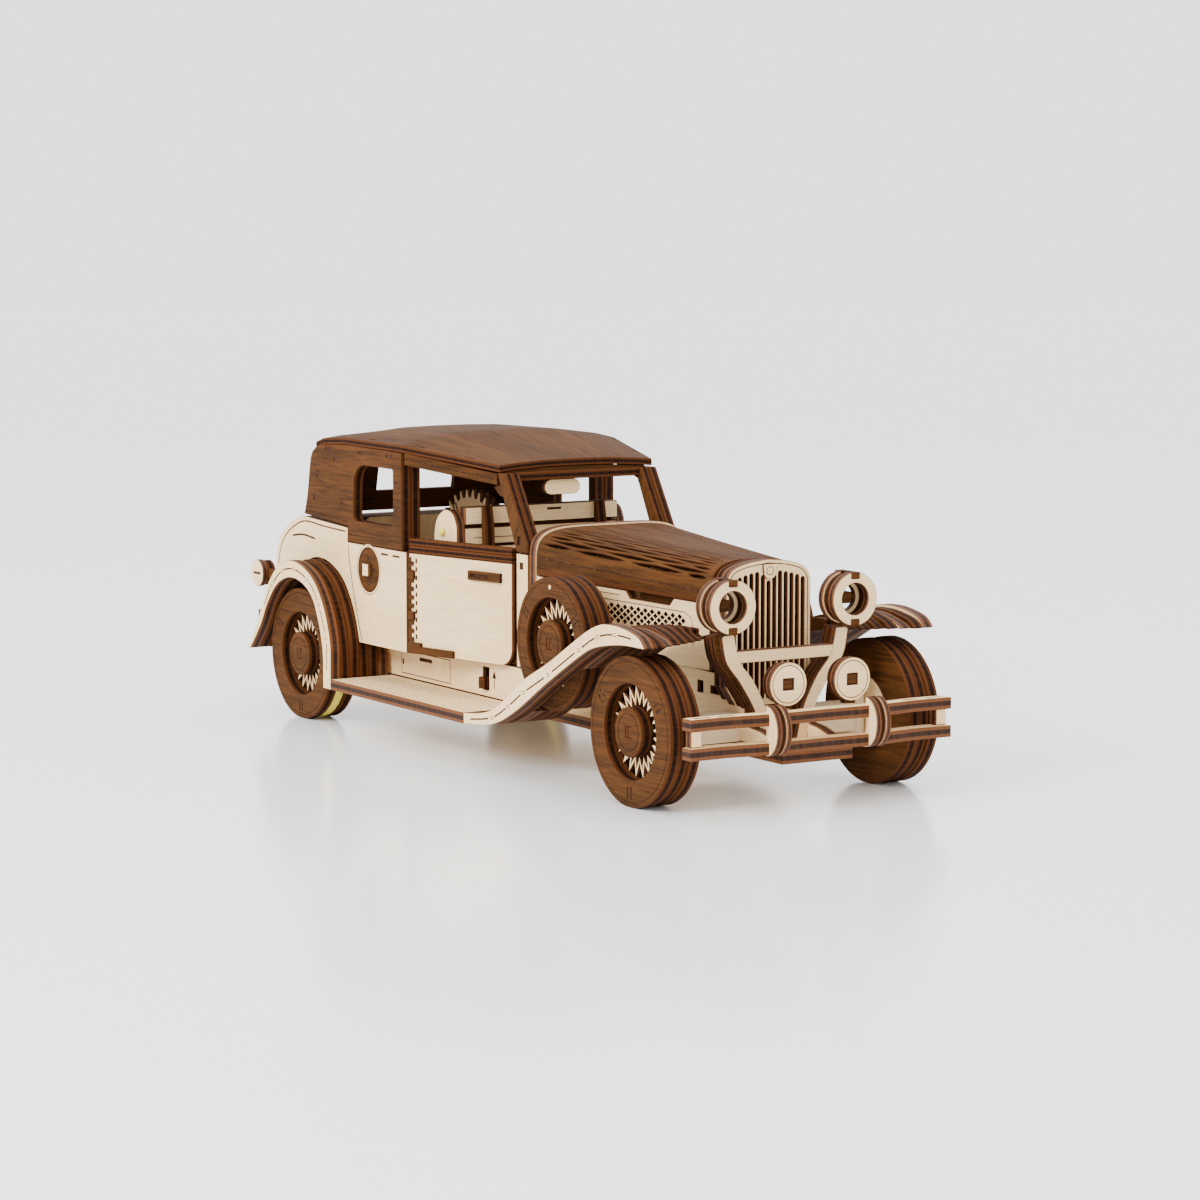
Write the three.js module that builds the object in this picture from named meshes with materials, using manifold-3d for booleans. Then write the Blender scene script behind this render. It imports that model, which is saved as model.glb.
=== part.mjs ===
// A plywood construction kit of a 1930s saloon car: flat laser-cut pieces slotted together, with
// steered front wheels, a geared winding motor on the rear axle, opening doors and hood flanks.
// Millimetres, +X forward, +Y to the car's left, +Z up, origin on the ground under the middle.
import * as THREE from "three";
import { mergeVertices } from "three/addons/utils/BufferGeometryUtils.js";
import Module from "manifold-3d";

const wasm = await Module();
wasm.setup();

// Sheet and fits
const PLY = 4;
const BENT_PLY = 2.6;
const GAP = 0.3;
const RUNNING_FIT = 0.08;
const SHAFT_R = 2;

// Lengths from nose to tail, which with the front tyre's radius add up to the whole length
const NOSE_CLEAR = 15.5;
const HOOD_SPAN = 103.5;
const DOOR_SPAN = 64;
const QUARTER_SPAN = 71.5;
const REAR_OVERHANG = 60.5;
const GRILLE_LEAD = 1.4;

// Half widths
const BODY_HALF = 45.8;
const SCUTTLE_HALF = 31.5;
const NOSE_HALF = 17;
const GUARD_HALF = 57.8;

// Heights, the first six measured from the axles
const BOARD_DROP = 6;
const SILL_RISE = 7.3;
const BELT_RISE = 44.8;
const NOSE_RISE = 54.2;
const HEADLAMP_RISE = 40.9;
const SPARE_RISE = 22;
const BELT_DEPTH = 5.5;
const WINDOW_RISE = 30.5;
const HEADER_DROP = 5;
const ROOF_CROWN = 4.6;
const HOOD_RISE = 7.7;
const HOOD_EDGE_DROP = 3.2;
const NOSE_EDGE_DROP = 14.7;

// Wheels and lamps
const WHEEL_R = 25;
const WHEEL_WIDTH = 12;
const WHEEL_FACE = 53.6;
const HUB_R = 8.1;
const RIM_R = 16;
const HUB_PROUD = 0.6;
const SPARE_R = 23;
const SPARE_FACE = 47;
const SPARE_BEHIND = 62;
const HEADLAMP_R = 9;
const HEADLAMP_Y = 24.4;
const FOG_R = 7.25;
const FOG_Y = 12.7;
const TAIL_LAMP_R = 5.3;

// Winding motor
const GEAR_MODULE = 1.5;
const AXLE_TEETH = 16;
const IDLER_TEETH = 12;
const WINDER_TEETH = 36;
const IDLER_BEARING = 18.6;
const WINDER_BEARING = 53.1;
const PORT_R = 8.4;

// Stations along the car
const frontOverhang = NOSE_CLEAR + WHEEL_R;
const LENGTH = frontOverhang + HOOD_SPAN + DOOR_SPAN + QUARTER_SPAN + REAR_OVERHANG;
const noseX = LENGTH / 2;
const tailX = -LENGTH / 2;
const frontAxleX = noseX - frontOverhang;
const scuttleX = frontAxleX - HOOD_SPAN;
const hingeX = scuttleX - DOOR_SPAN;
const rearAxleX = hingeX - QUARTER_SPAN;
const grilleX = frontAxleX + GRILLE_LEAD;
const toeX = scuttleX - GAP;
const boardTop = WHEEL_R - BOARD_DROP;
const sillTop = WHEEL_R + SILL_RISE;
const beltLow = WHEEL_R + BELT_RISE;
const noseTop = WHEEL_R + NOSE_RISE;
const headlampZ = WHEEL_R + HEADLAMP_RISE;
const spareZ = WHEEL_R + SPARE_RISE;
const beltTop = beltLow + BELT_DEPTH;
const railTop = beltTop + WINDOW_RISE;
const headerTop = railTop - HEADER_DROP;
const boardLow = boardTop - PLY;
const floorHalf = SCUTTLE_HALF - PLY - GAP;
const tyreTop = 2 * WHEEL_R;
const fenderInner = HEADLAMP_Y + HEADLAMP_R + GAP;

// The idler lies off the axle's pinion and the winding gear off the idler, each a mesh's distance away.
const meshed = ([x, z], teeth, otherTeeth, bearing) => {
  const apart = (GEAR_MODULE * (teeth + otherTeeth)) / 2;
  const angle = THREE.MathUtils.degToRad(bearing);
  return [x + apart * Math.cos(angle), z + apart * Math.sin(angle)];
};
const idler = meshed([rearAxleX, WHEEL_R], AXLE_TEETH, IDLER_TEETH, IDLER_BEARING);
const winder = meshed(idler, IDLER_TEETH, WINDER_TEETH, WINDER_BEARING);

const finish = (color, roughness) => ({ color, roughness, metalness: 0 });
const BIRCH = finish(0xe6d3b8, 0.72);
const STAINED = finish(0x6b4a35, 0.66);
const DOWEL = finish(0xd9bf94, 0.7);
const ELASTIC = finish(0xdccf3a, 0.5);

const car = new THREE.Group();
const SIDES = [["left", 1], ["right", -1]];

// ---------------------------------------------------------------- geometry helpers

function toSolid(geometry) {
  const bare = new THREE.BufferGeometry();
  const loose = geometry.index ? geometry.toNonIndexed() : geometry;
  bare.setAttribute("position", loose.getAttribute("position").clone());
  const merged = mergeVertices(bare, 1e-4);
  const vertProperties = merged.attributes.position.array;
  const triVerts = new Uint32Array(merged.index.array);
  return new wasm.Manifold(new wasm.Mesh({ numProp: 3, vertProperties, triVerts }));
}

function toGeometry(solid) {
  const mesh = solid.getMesh();
  const geometry = new THREE.BufferGeometry();
  geometry.setAttribute("position", new THREE.BufferAttribute(new Float32Array(mesh.vertProperties), 3));
  geometry.setIndex(new THREE.BufferAttribute(new Uint32Array(mesh.triVerts), 1));
  return geometry;
}

const join = (...pieces) => toGeometry(pieces.map(toSolid).reduce((sum, piece) => sum.add(piece)));

const cut = (piece, ...tools) =>
  toGeometry(tools.map(toSolid).reduce((rest, tool) => rest.subtract(tool), toSolid(piece)));

function shapeOf(outline, holes = []) {
  const shape = new THREE.Shape(outline.map(([u, v]) => new THREE.Vector2(u, v)));
  shape.holes = holes.map((hole) => new THREE.Path(hole.map(([u, v]) => new THREE.Vector2(u, v))));
  return shape;
}

// A flat piece: its outline's first axis runs along `across`, its second along `up`.
function plate(outline, thickness, across, up, holes) {
  const settings = { depth: thickness, bevelEnabled: false };
  const sheet = new THREE.ExtrudeGeometry(shapeOf(outline, holes), settings);
  const through = new THREE.Vector3().crossVectors(across, up);
  return sheet.applyMatrix4(new THREE.Matrix4().makeBasis(across, up, through));
}

const ALONG = new THREE.Vector3(1, 0, 0);
const LEFT = new THREE.Vector3(0, 1, 0);
const UP = new THREE.Vector3(0, 0, 1);

// An upright piece in X and Z whose outer face lies `outer` from the car's middle on one side.
function sidePlate(outline, outer, side, thickness = PLY, holes = []) {
  const top = side > 0 ? outer : -outer + thickness;
  return plate(outline, thickness, ALONG, UP, holes).translate(0, top, 0);
}

// An upright piece across the car, in Y and Z, with its back at x.
const crossPlate = (outline, x, thickness = PLY, holes = []) =>
  plate(outline, thickness, LEFT, UP, holes).translate(x, 0, 0);

// A level piece, in X and Y, with its underside at z.
const floorPlate = (outline, z, thickness = PLY, holes = []) =>
  plate(outline, thickness, ALONG, LEFT, holes).translate(0, 0, z);

const box = (x0, x1, y0, y1, z0, z1) =>
  new THREE.BoxGeometry(x1 - x0, y1 - y0, z1 - z0).translate((x0 + x1) / 2, (y0 + y1) / 2, (z0 + z1) / 2);

function curve(points, steps) {
  const spline = new THREE.SplineCurve(points.map(([u, v]) => new THREE.Vector2(u, v)));
  return spline.getPoints(steps).map((point) => [point.x, point.y]);
}

function ring(u, v, radius, sides = 24, from = 0, to = 2 * Math.PI) {
  const whole = Math.abs(to - from) > 6.28;
  const count = whole ? sides : sides + 1;
  return Array.from({ length: count }, (_, i) => {
    const angle = from + ((to - from) * i) / sides;
    return [u + radius * Math.cos(angle), v + radius * Math.sin(angle)];
  });
}

const mirrored = (half) => [...half, ...half.map(([y, z]) => [-y, z]).reverse()];

// Radius of a polygonal hole that lets a round shaft turn.
const boreFor = (radius, sides = 16) => (radius + RUNNING_FIT) / Math.cos(Math.PI / sides);

// A round bar along Y.
const barY = (radius, y0, y1, x, z, sides = 16) =>
  new THREE.CylinderGeometry(radius, radius, y1 - y0, sides).translate(x, (y0 + y1) / 2, z);

// A round bar along X.
function barX(radius, x0, x1, y, z, sides = 24) {
  const bar = new THREE.CylinderGeometry(radius, radius, x1 - x0, sides);
  return bar.rotateZ(Math.PI / 2).translate((x0 + x1) / 2, y, z);
}

// A round bar along Z.
function barZ(radius, z0, z1, x, y, sides = 16) {
  const bar = new THREE.CylinderGeometry(radius, radius, z1 - z0, sides);
  return bar.rotateX(Math.PI / 2).translate(x, y, (z0 + z1) / 2);
}

// A solid skinned over closed rings of (y, z) points that stand at increasing x.
function loft(stations) {
  const flat = (section) => section.map(([y, z]) => new THREE.Vector2(y, z));
  const facing = (section) => (THREE.ShapeUtils.area(flat(section)) < 0 ? [...section].reverse() : section);
  const rings = stations.map((station) => facing(station.ring));
  const count = rings[0].length;
  const points = rings.flatMap((section, s) => section.flatMap(([y, z]) => [stations[s].x, y, z]));
  const faces = [];
  for (let start = 0; start < count * (rings.length - 1); start += count) {
    for (let i = 0; i < count; i++) {
      const a = start + i;
      const b = start + ((i + 1) % count);
      faces.push(a, b, b + count, a, b + count, a + count);
    }
  }
  const last = count * (rings.length - 1);
  for (const [a, b, c] of THREE.ShapeUtils.triangulateShape(flat(rings[0]), [])) faces.push(a, c, b);
  for (const [a, b, c] of THREE.ShapeUtils.triangulateShape(flat(rings.at(-1)), [])) {
    faces.push(last + a, last + b, last + c);
  }
  const geometry = new THREE.BufferGeometry();
  geometry.setAttribute("position", new THREE.Float32BufferAttribute(points, 3));
  geometry.setIndex(faces);
  return geometry;
}

function add(name, geometry, look, parent = car) {
  const mesh = new THREE.Mesh(geometry, new THREE.MeshStandardMaterial(look));
  mesh.name = name;
  parent.add(mesh);
  return mesh;
}

// ---------------------------------------------------------------- chassis and boards

const TONGUE_HALF = 14;
const GEAR_SLOT_HALF = 4;
const AXLE_CHEEK = 6;
const axlePinionR = (GEAR_MODULE * AXLE_TEETH) / 2;

function chassis() {
  const back = tailX + 22;
  const wide = frontAxleX - WHEEL_R - 14;
  const slot = axlePinionR + 4;
  const outline = [
    [back, -floorHalf], [wide, -floorHalf], [wide + 12, -TONGUE_HALF], [noseX - 10, -TONGUE_HALF],
    [noseX - 10, TONGUE_HALF], [wide + 12, TONGUE_HALF], [wide, floorHalf], [back, floorHalf],
  ];
  const gearSlot = [
    [rearAxleX - slot, -GEAR_SLOT_HALF], [rearAxleX + slot, -GEAR_SLOT_HALF],
    [rearAxleX + slot, GEAR_SLOT_HALF], [rearAxleX - slot, GEAR_SLOT_HALF],
  ];
  add("chassis_plate", floorPlate(outline, boardLow, PLY, [gearSlot]), BIRCH);
}

const LEVER_BEHIND = 30.5;
const LEVER_HALF = 2;
const leverLow = boardTop + 3;
const leverHigh = leverLow + 4.6;
const LEVER_TRAVEL = 3;

function sills() {
  const cheek = rearAxleX + SHAFT_R + AXLE_CHEEK;
  const outline = [
    [rearAxleX - SHAFT_R - AXLE_CHEEK, boardTop + GAP], [toeX, boardTop + GAP], [toeX, sillTop],
    [cheek, sillTop], [cheek, WHEEL_R + SHAFT_R + AXLE_CHEEK + 2],
    [rearAxleX - SHAFT_R - AXLE_CHEEK, WHEEL_R + SHAFT_R + AXLE_CHEEK + 2],
  ];
  const bore = ring(rearAxleX, WHEEL_R, boreFor(SHAFT_R), 16);
  const leverX = scuttleX - LEVER_BEHIND;
  const slot = [
    [leverX - LEVER_HALF - GAP, leverLow - GAP], [leverX + LEVER_HALF + GAP, leverLow - GAP],
    [leverX + LEVER_HALF + GAP, leverHigh + LEVER_TRAVEL + GAP],
    [leverX - LEVER_HALF - GAP, leverHigh + LEVER_TRAVEL + GAP],
  ];
  for (const [hand, side] of SIDES) {
    const holes = side < 0 ? [bore, slot] : [bore];
    add(`sill_${hand}`, sidePlate(outline, SCUTTLE_HALF, side, PLY, holes), BIRCH);
  }
  const reach = SCUTTLE_HALF + 2.4;
  const lever = box(leverX - LEVER_HALF, leverX + LEVER_HALF, -reach, -floorHalf, leverLow, leverHigh);
  add("stop_lever", lever, STAINED);
}

const LEG_CLEAR = 1.9;
const LEG_WIDE = 6.2;
const legX = rearAxleX + WHEEL_R + LEG_CLEAR + LEG_WIDE;

function runningBoards() {
  const inner = SCUTTLE_HALF + GAP;
  for (const [hand, side] of SIDES) {
    const outline = [
      [legX + GAP, side * inner], [toeX - GAP, side * inner],
      [toeX - GAP, side * GUARD_HALF], [legX + GAP, side * GUARD_HALF],
    ];
    add(`running_board_${hand}`, floorPlate(outline, boardLow), BIRCH);
  }
}

// ---------------------------------------------------------------- fenders

const SPARE_WELL = 0.6;
const spareX = frontAxleX - SPARE_BEHIND;

// The front fender sweeps from the board up over the tyre to a pointed nose.
function frontFenderOutline() {
  const x = (ahead) => frontAxleX + ahead;
  const upper = curve([
    [toeX, boardTop], [x(-84), boardTop + 3.4], [x(-62), tyreTop - 14.6], [x(-45), tyreTop - 6.6],
    [x(-17.7), tyreTop + 7.6], [x(-3.5), tyreTop + 10.1], [x(10.5), tyreTop + 8.1], [x(15.4), tyreTop + 4.6],
  ], 22);
  const lower = curve([
    [x(15), tyreTop + 4.1], [x(1), tyreTop + 3.9], [x(-15), tyreTop + 1.4], [x(-26), tyreTop - 3.2],
    [x(-48), tyreTop - 15], [x(-68), boardTop + 4.5], [x(-84), boardLow + 2.2], [toeX, boardLow],
  ], 18);
  return [...upper, ...lower];
}

// Points round a wheel: angle in degrees from forward, distance out from the tread.
const roundWheel = (wheelX, stops) =>
  stops.map(([degrees, out]) => {
    const angle = THREE.MathUtils.degToRad(degrees);
    return [wheelX + (WHEEL_R + out) * Math.cos(angle), WHEEL_R + (WHEEL_R + out) * Math.sin(angle)];
  });

const rearFenderArch = () =>
  curve([[legX, WHEEL_R - 2], ...roundWheel(rearAxleX, [
    [14, 8.8], [36, 9.6], [56, 10.9], [75, 11.2], [92, 11], [107, 9.8], [126, 7.1], [145, 4.8], [165, 6.2],
  ]), [rearAxleX - WHEEL_R - 12.1, WHEEL_R - 1.5]], 26);

function rearFenderOutline() {
  const inside = curve([
    [rearAxleX - WHEEL_R - 10.4, WHEEL_R - 1.4], ...roundWheel(rearAxleX, [
      [162, 2.6], [139, 1.7], [115, 3.2], [93, 4.4], [72, 4.8], [52, 4.6], [30, 2.4], [8, LEG_CLEAR],
    ]), [legX - LEG_WIDE, WHEEL_R - 4],
  ], 22);
  return [[legX, boardLow], ...rearFenderArch(), ...inside, [legX - LEG_WIDE, boardLow]];
}

function fenders() {
  const front = frontFenderOutline();
  const rear = rearFenderOutline();
  for (const [hand, side] of SIDES) {
    const near = side * (SPARE_FACE + HUB_PROUD + GAP);
    const far = side * (fenderInner - 1);
    const well = barY(SPARE_R + SPARE_WELL, Math.min(near, far), Math.max(near, far), spareX, spareZ, 40);
    const guard = sidePlate(front, GUARD_HALF, side, GUARD_HALF - fenderInner);
    add(`front_fender_${hand}`, cut(guard, well), STAINED);
    const depth = GUARD_HALF - SCUTTLE_HALF - GAP;
    add(`rear_fender_${hand}`, sidePlate(rear, GUARD_HALF, side, depth), STAINED);
  }
}

// ---------------------------------------------------------------- body sides and tail

const tailTopX = rearAxleX - 11.5;
const tailEdgeX = rearAxleX - WHEEL_R - 11.5;
const trunkLine = [
  [tailTopX, beltTop + 1.7], [tailEdgeX + 6.5, beltLow],
  [tailEdgeX, beltLow - 12.4], [tailEdgeX - 1, sillTop + 1],
];
const beltBackX = rearAxleX + 25;

function quarterPanels() {
  const lift = GAP + 0.2;
  const arch = rearFenderArch().map(([x, z]) => {
    const away = Math.hypot(x - rearAxleX, z - WHEEL_R);
    const grow = (away + lift) / away;
    return [rearAxleX + (x - rearAxleX) * grow, WHEEL_R + (z - WHEEL_R) * grow];
  });
  const overBelow = arch.filter(([, z]) => z > sillTop + 1);
  const outline = [
    [legX + lift, sillTop], [hingeX - GAP, sillTop], [hingeX - GAP, beltLow - GAP],
    [beltBackX - GAP, beltLow - GAP], [beltBackX - GAP, beltTop - GAP],
    ...trunkLine.map(([x, z]) => [x, z - GAP]),
    ...overBelow.reverse(),
  ];
  const port = ring(winder[0], winder[1], PORT_R);
  for (const [hand, side] of SIDES) {
    add(`quarter_panel_${hand}`, sidePlate(outline, BODY_HALF, side, PLY, [port]), BIRCH);
  }
}

function trunk() {
  const inward = trunkLine.map(([x, z], i) => [x + 2 + (i ? 0.6 : 0), z - (i < 2 ? 2.6 : 0)]).reverse();
  const inner = BODY_HALF - PLY - GAP;
  add("trunk_skin", sidePlate([...trunkLine, ...inward], inner, 1, 2 * inner), BIRCH);
}

const POST_WIDE = 6.5;
const WINDOW_SILL = 2.7;
const roofBackX = rearAxleX + 3.8;

// The dark rear quarter of the roof, with its window; its front edge is the door post.
function roofQuarters() {
  const front = hingeX - PLY;
  const outline = [
    [front, beltLow], [front, railTop], [roofBackX + 18, railTop + 0.4], [roofBackX, railTop - 0.8],
    [roofBackX - 6, railTop - 2.4], [roofBackX - 9.6, railTop - 6.4], [roofBackX - 12.6, beltTop + 10],
    [tailTopX, beltTop + 2 + GAP], [beltBackX, beltTop + GAP], [beltBackX, beltLow],
  ];
  const back = roofBackX + 27;
  const low = beltTop + WINDOW_SILL;
  const high = railTop - 6.5;
  const window = [
    [front - POST_WIDE, low], [front - POST_WIDE, high],
    ...ring(back + 5, high - 5, 5, 4, Math.PI / 2, Math.PI),
    [back - 1, low],
  ];
  for (const [hand, side] of SIDES) {
    add(`roof_quarter_${hand}`, sidePlate(outline, BODY_HALF, side, PLY, [window]), STAINED);
  }
}

const REAR_WINDOW_HALF = 17;

function rearWindowPanel() {
  const inner = BODY_HALF - PLY - GAP;
  const back = [
    [tailTopX + 1, beltTop + 2.6], [roofBackX - 12, beltTop + 10], [roofBackX - 9, railTop - 6.6],
    [roofBackX - 5.6, railTop - 3],
  ];
  const inward = back.map(([x, z]) => [x + BENT_PLY, z - 0.2]).reverse();
  const shell = sidePlate([...back, ...inward], inner, 1, 2 * inner);
  const [low, high] = [beltTop + 9, railTop - 9];
  const opening = box(tailTopX - 20, roofBackX + 6, -REAR_WINDOW_HALF, REAR_WINDOW_HALF, low, high);
  add("rear_window_panel", cut(shell, opening), STAINED);
}

// ---------------------------------------------------------------- windshield, rails and roof

const PILLAR_WIDE = 6;
const HEADER_DEEP = 5.5;
const HEADER_LIP = 2;
const PILLAR_LEAN_BACK = 15;
const footX = scuttleX - 5.5;
const footZ = beltTop - 1.8;

function windshield() {
  const height = Math.hypot(headerTop - footZ, PILLAR_LEAN_BACK);
  const half = SCUTTLE_HALF + 0.4;
  const frame = mirrored([
    [half, 0], [half, height], [0, height],
  ]).filter(([y], i, all) => i === all.findIndex(([v, w]) => v === y && w === all[i][1]));
  const lean = new THREE.Vector3(-PILLAR_LEAN_BACK, 0, headerTop - footZ).normalize();
  const inside = half - PILLAR_WIDE;
  const top = height - HEADER_DEEP;
  const light = [[-inside, -1], [inside, -1], [inside, top], [-inside, top]];
  const glass = plate(light, 3 * PLY, LEFT, lean);
  const through = new THREE.Vector3().crossVectors(LEFT, lean);
  glass.translate(-through.x * PLY, 0, -through.z * PLY);
  const mesh = add("windshield_frame", cut(plate(frame, PLY, LEFT, lean), glass), STAINED);
  mesh.position.set(footX, 0, footZ + GAP);
}

const RAIL_DEEP = 5;

function roofRails() {
  const start = hingeX - PLY + GAP;
  const end = footX - PILLAR_LEAN_BACK - 3;
  const turn = Math.atan2(BODY_HALF - SCUTTLE_HALF, end - start + 3);
  const long = Math.hypot(end - start, BODY_HALF - SCUTTLE_HALF) - 1.5;
  const ease = PLY * Math.sin(turn) + GAP;
  const outline = [
    [ease, railTop - RAIL_DEEP], [long, headerTop - RAIL_DEEP], [long, headerTop], [ease, railTop],
  ];
  for (const [hand, side] of SIDES) {
    const rail = add(`roof_rail_${hand}`, sidePlate(outline, 0, side), STAINED);
    rail.rotation.z = -side * turn;
    rail.position.set(start, side * BODY_HALF, 0);
  }
}

// The roof sheet: a flat crown with a facet down to each rail, narrowing to the windshield header.
function roof() {
  const section = (half, edge, crown) => {
    const top = [
      [half, edge], [half * 0.82, edge + crown * 0.42],
      [half * 0.45, edge + crown * 0.9], [half * 0.15, edge + crown],
    ];
    const upper = mirrored(top);
    const lower = upper.map(([y, z]) => [y, z - BENT_PLY]).reverse();
    return [...upper, ...lower];
  };
  const seat = BENT_PLY + GAP;
  const front = footX - PILLAR_LEAN_BACK - 1;
  const frontEdge = headerTop + HEADER_LIP + seat + GAP;
  add("roof_panel", loft([
    { x: roofBackX - 5, ring: section(BODY_HALF, railTop - 1.9 + seat, ROOF_CROWN * 0.3) },
    { x: roofBackX + 2, ring: section(BODY_HALF, railTop - 0.4 + seat, ROOF_CROWN * 0.6) },
    { x: roofBackX + 18, ring: section(BODY_HALF, railTop + 0.5 + seat, ROOF_CROWN * 0.8) },
    { x: hingeX - PLY, ring: section(BODY_HALF, railTop + seat, ROOF_CROWN) },
    { x: front + 2.5, ring: section(SCUTTLE_HALF + 0.6, frontEdge, ROOF_CROWN * 0.2) },
  ]), STAINED);
}

// ---------------------------------------------------------------- scuttle, hood and grille

const hoodBackX = scuttleX + PLY + GAP;
const hoodFrontX = grilleX - 2 * PLY - 2 * GAP;
const SKIN = 2.2;
const CROWN_BACK = 9;
const CROWN_FRONT = 5.5;
const SHOULDER_BACK = 0.42;
const SHOULDER_FRONT = 0.6;

// Half width, lower edge, ridge, shoulder squareness and solid crown of the hood at a station.
function hoodAt(x) {
  const t = (x - hoodBackX) / (hoodFrontX - hoodBackX);
  const mix = (a, b) => a + (b - a) * t;
  const half = mix(SCUTTLE_HALF - 0.8, NOSE_HALF + 0.8);
  const power = mix(SHOULDER_BACK, SHOULDER_FRONT);
  const crownHalf = mix(CROWN_BACK, CROWN_FRONT);
  return {
    half,
    power,
    edge: mix(beltLow - HOOD_EDGE_DROP, noseTop - NOSE_EDGE_DROP),
    ridge: mix(beltTop + HOOD_RISE, noseTop - 0.4),
    crown: Math.asin((crownHalf / half) ** (1 / power)),
    seam: Math.asin(((crownHalf + GAP) / half) ** (1 / power)),
  };
}

// A strip of the hood's skin between two turns of its rounded section; 0 is the ridge.
function hoodStrip(x, from, to, steps) {
  const { half, edge, ridge, power } = hoodAt(x);
  const at = (turn, inset) => [
    (half - inset) * Math.sin(turn) ** power, edge + (ridge - inset - edge) * Math.cos(turn) ** power,
  ];
  const spread = (i) => from + (to - from) * (i / steps) ** 1.5;
  const turns = Array.from({ length: steps + 1 }, (_, i) => spread(i));
  const outer = turns.map((turn) => at(turn, 0));
  const inner = turns.map((turn) => at(turn, SKIN)).reverse();
  return { outer, inner };
}

function hood() {
  const ends = [hoodBackX, (hoodBackX + hoodFrontX) / 2, hoodFrontX];
  const crown = ends.map((x) => {
    const { outer, inner } = hoodStrip(x, 0, hoodAt(x).crown, 3);
    const mirror = (half) => half.filter(([y]) => y > 0.01).map(([y, z]) => [-y, z]);
    return { x, ring: [...mirror(outer).reverse(), ...outer, ...inner, ...mirror(inner).reverse()] };
  });
  add("hood_crown", loft(crown), STAINED);
  for (const [hand, side] of SIDES) {
    const flank = ends.map((x) => {
      const { outer, inner } = hoodStrip(x, hoodAt(x).seam, Math.PI / 2 - 1e-6, 9);
      return { x, ring: [...outer, ...inner].map(([y, z]) => [side * y, z]) };
    });
    add(`hood_flank_${hand}`, loft(flank), STAINED);
    const wall = [hoodBackX, hoodFrontX].map((x) => {
      const { half, edge } = hoodAt(x);
      const [low, high] = [tyreTop - 8, edge - GAP];
      const section = [[half, low], [half, high], [half - PLY, high], [half - PLY, low]];
      return { x, ring: section.map(([y, z]) => [side * y, z]) };
    });
    add(`hood_side_${hand}`, loft(wall), BIRCH);
  }
}

function scuttle() {
  const { outer } = hoodStrip(hoodBackX, 0, Math.PI / 2 - 1e-6, 9);
  const arch = outer.map(([y, z]) => [y ? y + 0.4 : 0, z + 0.6]).reverse();
  const half = outer.at(-1)[0];
  const halfLine = [[floorHalf, boardTop + GAP], [floorHalf, sillTop], [half + 0.4, sillTop], ...arch];
  const otherHalf = halfLine.slice(0, -1).map(([y, z]) => [-y, z]).reverse();
  add("scuttle_arch", crossPlate([...halfLine, ...otherHalf], scuttleX), BIRCH);
  const post = [
    [scuttleX - 8.2, sillTop + GAP], [scuttleX - GAP, sillTop + GAP], [scuttleX - GAP, beltTop - 2.1],
    [scuttleX - 8.2, beltTop - 2.1],
  ];
  for (const [hand, side] of SIDES) add(`scuttle_post_${hand}`, sidePlate(post, SCUTTLE_HALF, side), BIRCH);
}

const grilleLow = boardTop + 10;

function grille() {
  const outlineOf = (half) => {
    const shoulder = noseTop - 7;
    const side = [
      [half - 5, grilleLow], [half, grilleLow + 8], [half, shoulder], [half * 0.82, noseTop - 3.4],
      [half * 0.5, noseTop - 1],
    ];
    return [...side, [0, noseTop], ...side.map(([y, z]) => [-y, z]).reverse()];
  };
  add("grille_shell", crossPlate(outlineOf(NOSE_HALF), grilleX - PLY), BIRCH);
  add("grille_core", crossPlate(outlineOf(NOSE_HALF - 0.8), grilleX - 2 * PLY - GAP), STAINED);
}

// ---------------------------------------------------------------- lamps and bumpers

const BRACKET_AHEAD = 7.6;

function lamps() {
  const x = frontAxleX + BRACKET_AHEAD;
  const lampSeat = headlampZ - HEADLAMP_R - GAP - 0.4;
  const arm = (side) => {
    const outer = [
      [9, boardTop + GAP], [13, boardTop + 11], [19.5, boardTop + 21], [25.5, boardTop + 28],
      [HEADLAMP_Y + 2.4, lampSeat],
    ];
    const inner = [
      [HEADLAMP_Y - 2.4, lampSeat], [20, boardTop + 28], [14, boardTop + 21], [8, boardTop + 11],
      [5, boardTop + GAP],
    ];
    return [...outer, ...inner].map(([y, z]) => [side * y, z]);
  };
  const tieLow = headlampZ - 19.5;
  const tieHigh = tieLow + 4.2;
  const bar = [[-22, tieLow], [22, tieLow], [22, tieHigh], [-22, tieHigh]];
  add("lamp_bracket", join(crossPlate(arm(1), x), crossPlate(arm(-1), x), crossPlate(bar, x)), BIRCH);
  for (const [hand, side] of SIDES) {
    const body = barX(HEADLAMP_R, x - 4, frontAxleX + 17, side * HEADLAMP_Y, headlampZ, 28);
    const bowl = barX(HEADLAMP_R - 3.7, frontAxleX + 11, frontAxleX + 18, side * HEADLAMP_Y, headlampZ, 20);
    add(`headlamp_${hand}`, cut(body, bowl), BIRCH);
  }
}

const BAR_DEPTH = 5.2;
const barLow = boardTop + 0.5;
const BAR_RISE = 9.5;
const BAR_END = 51.7;
const OVERRIDER_Y = 19.7;
const OVERRIDER_HALF = 3;

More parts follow.
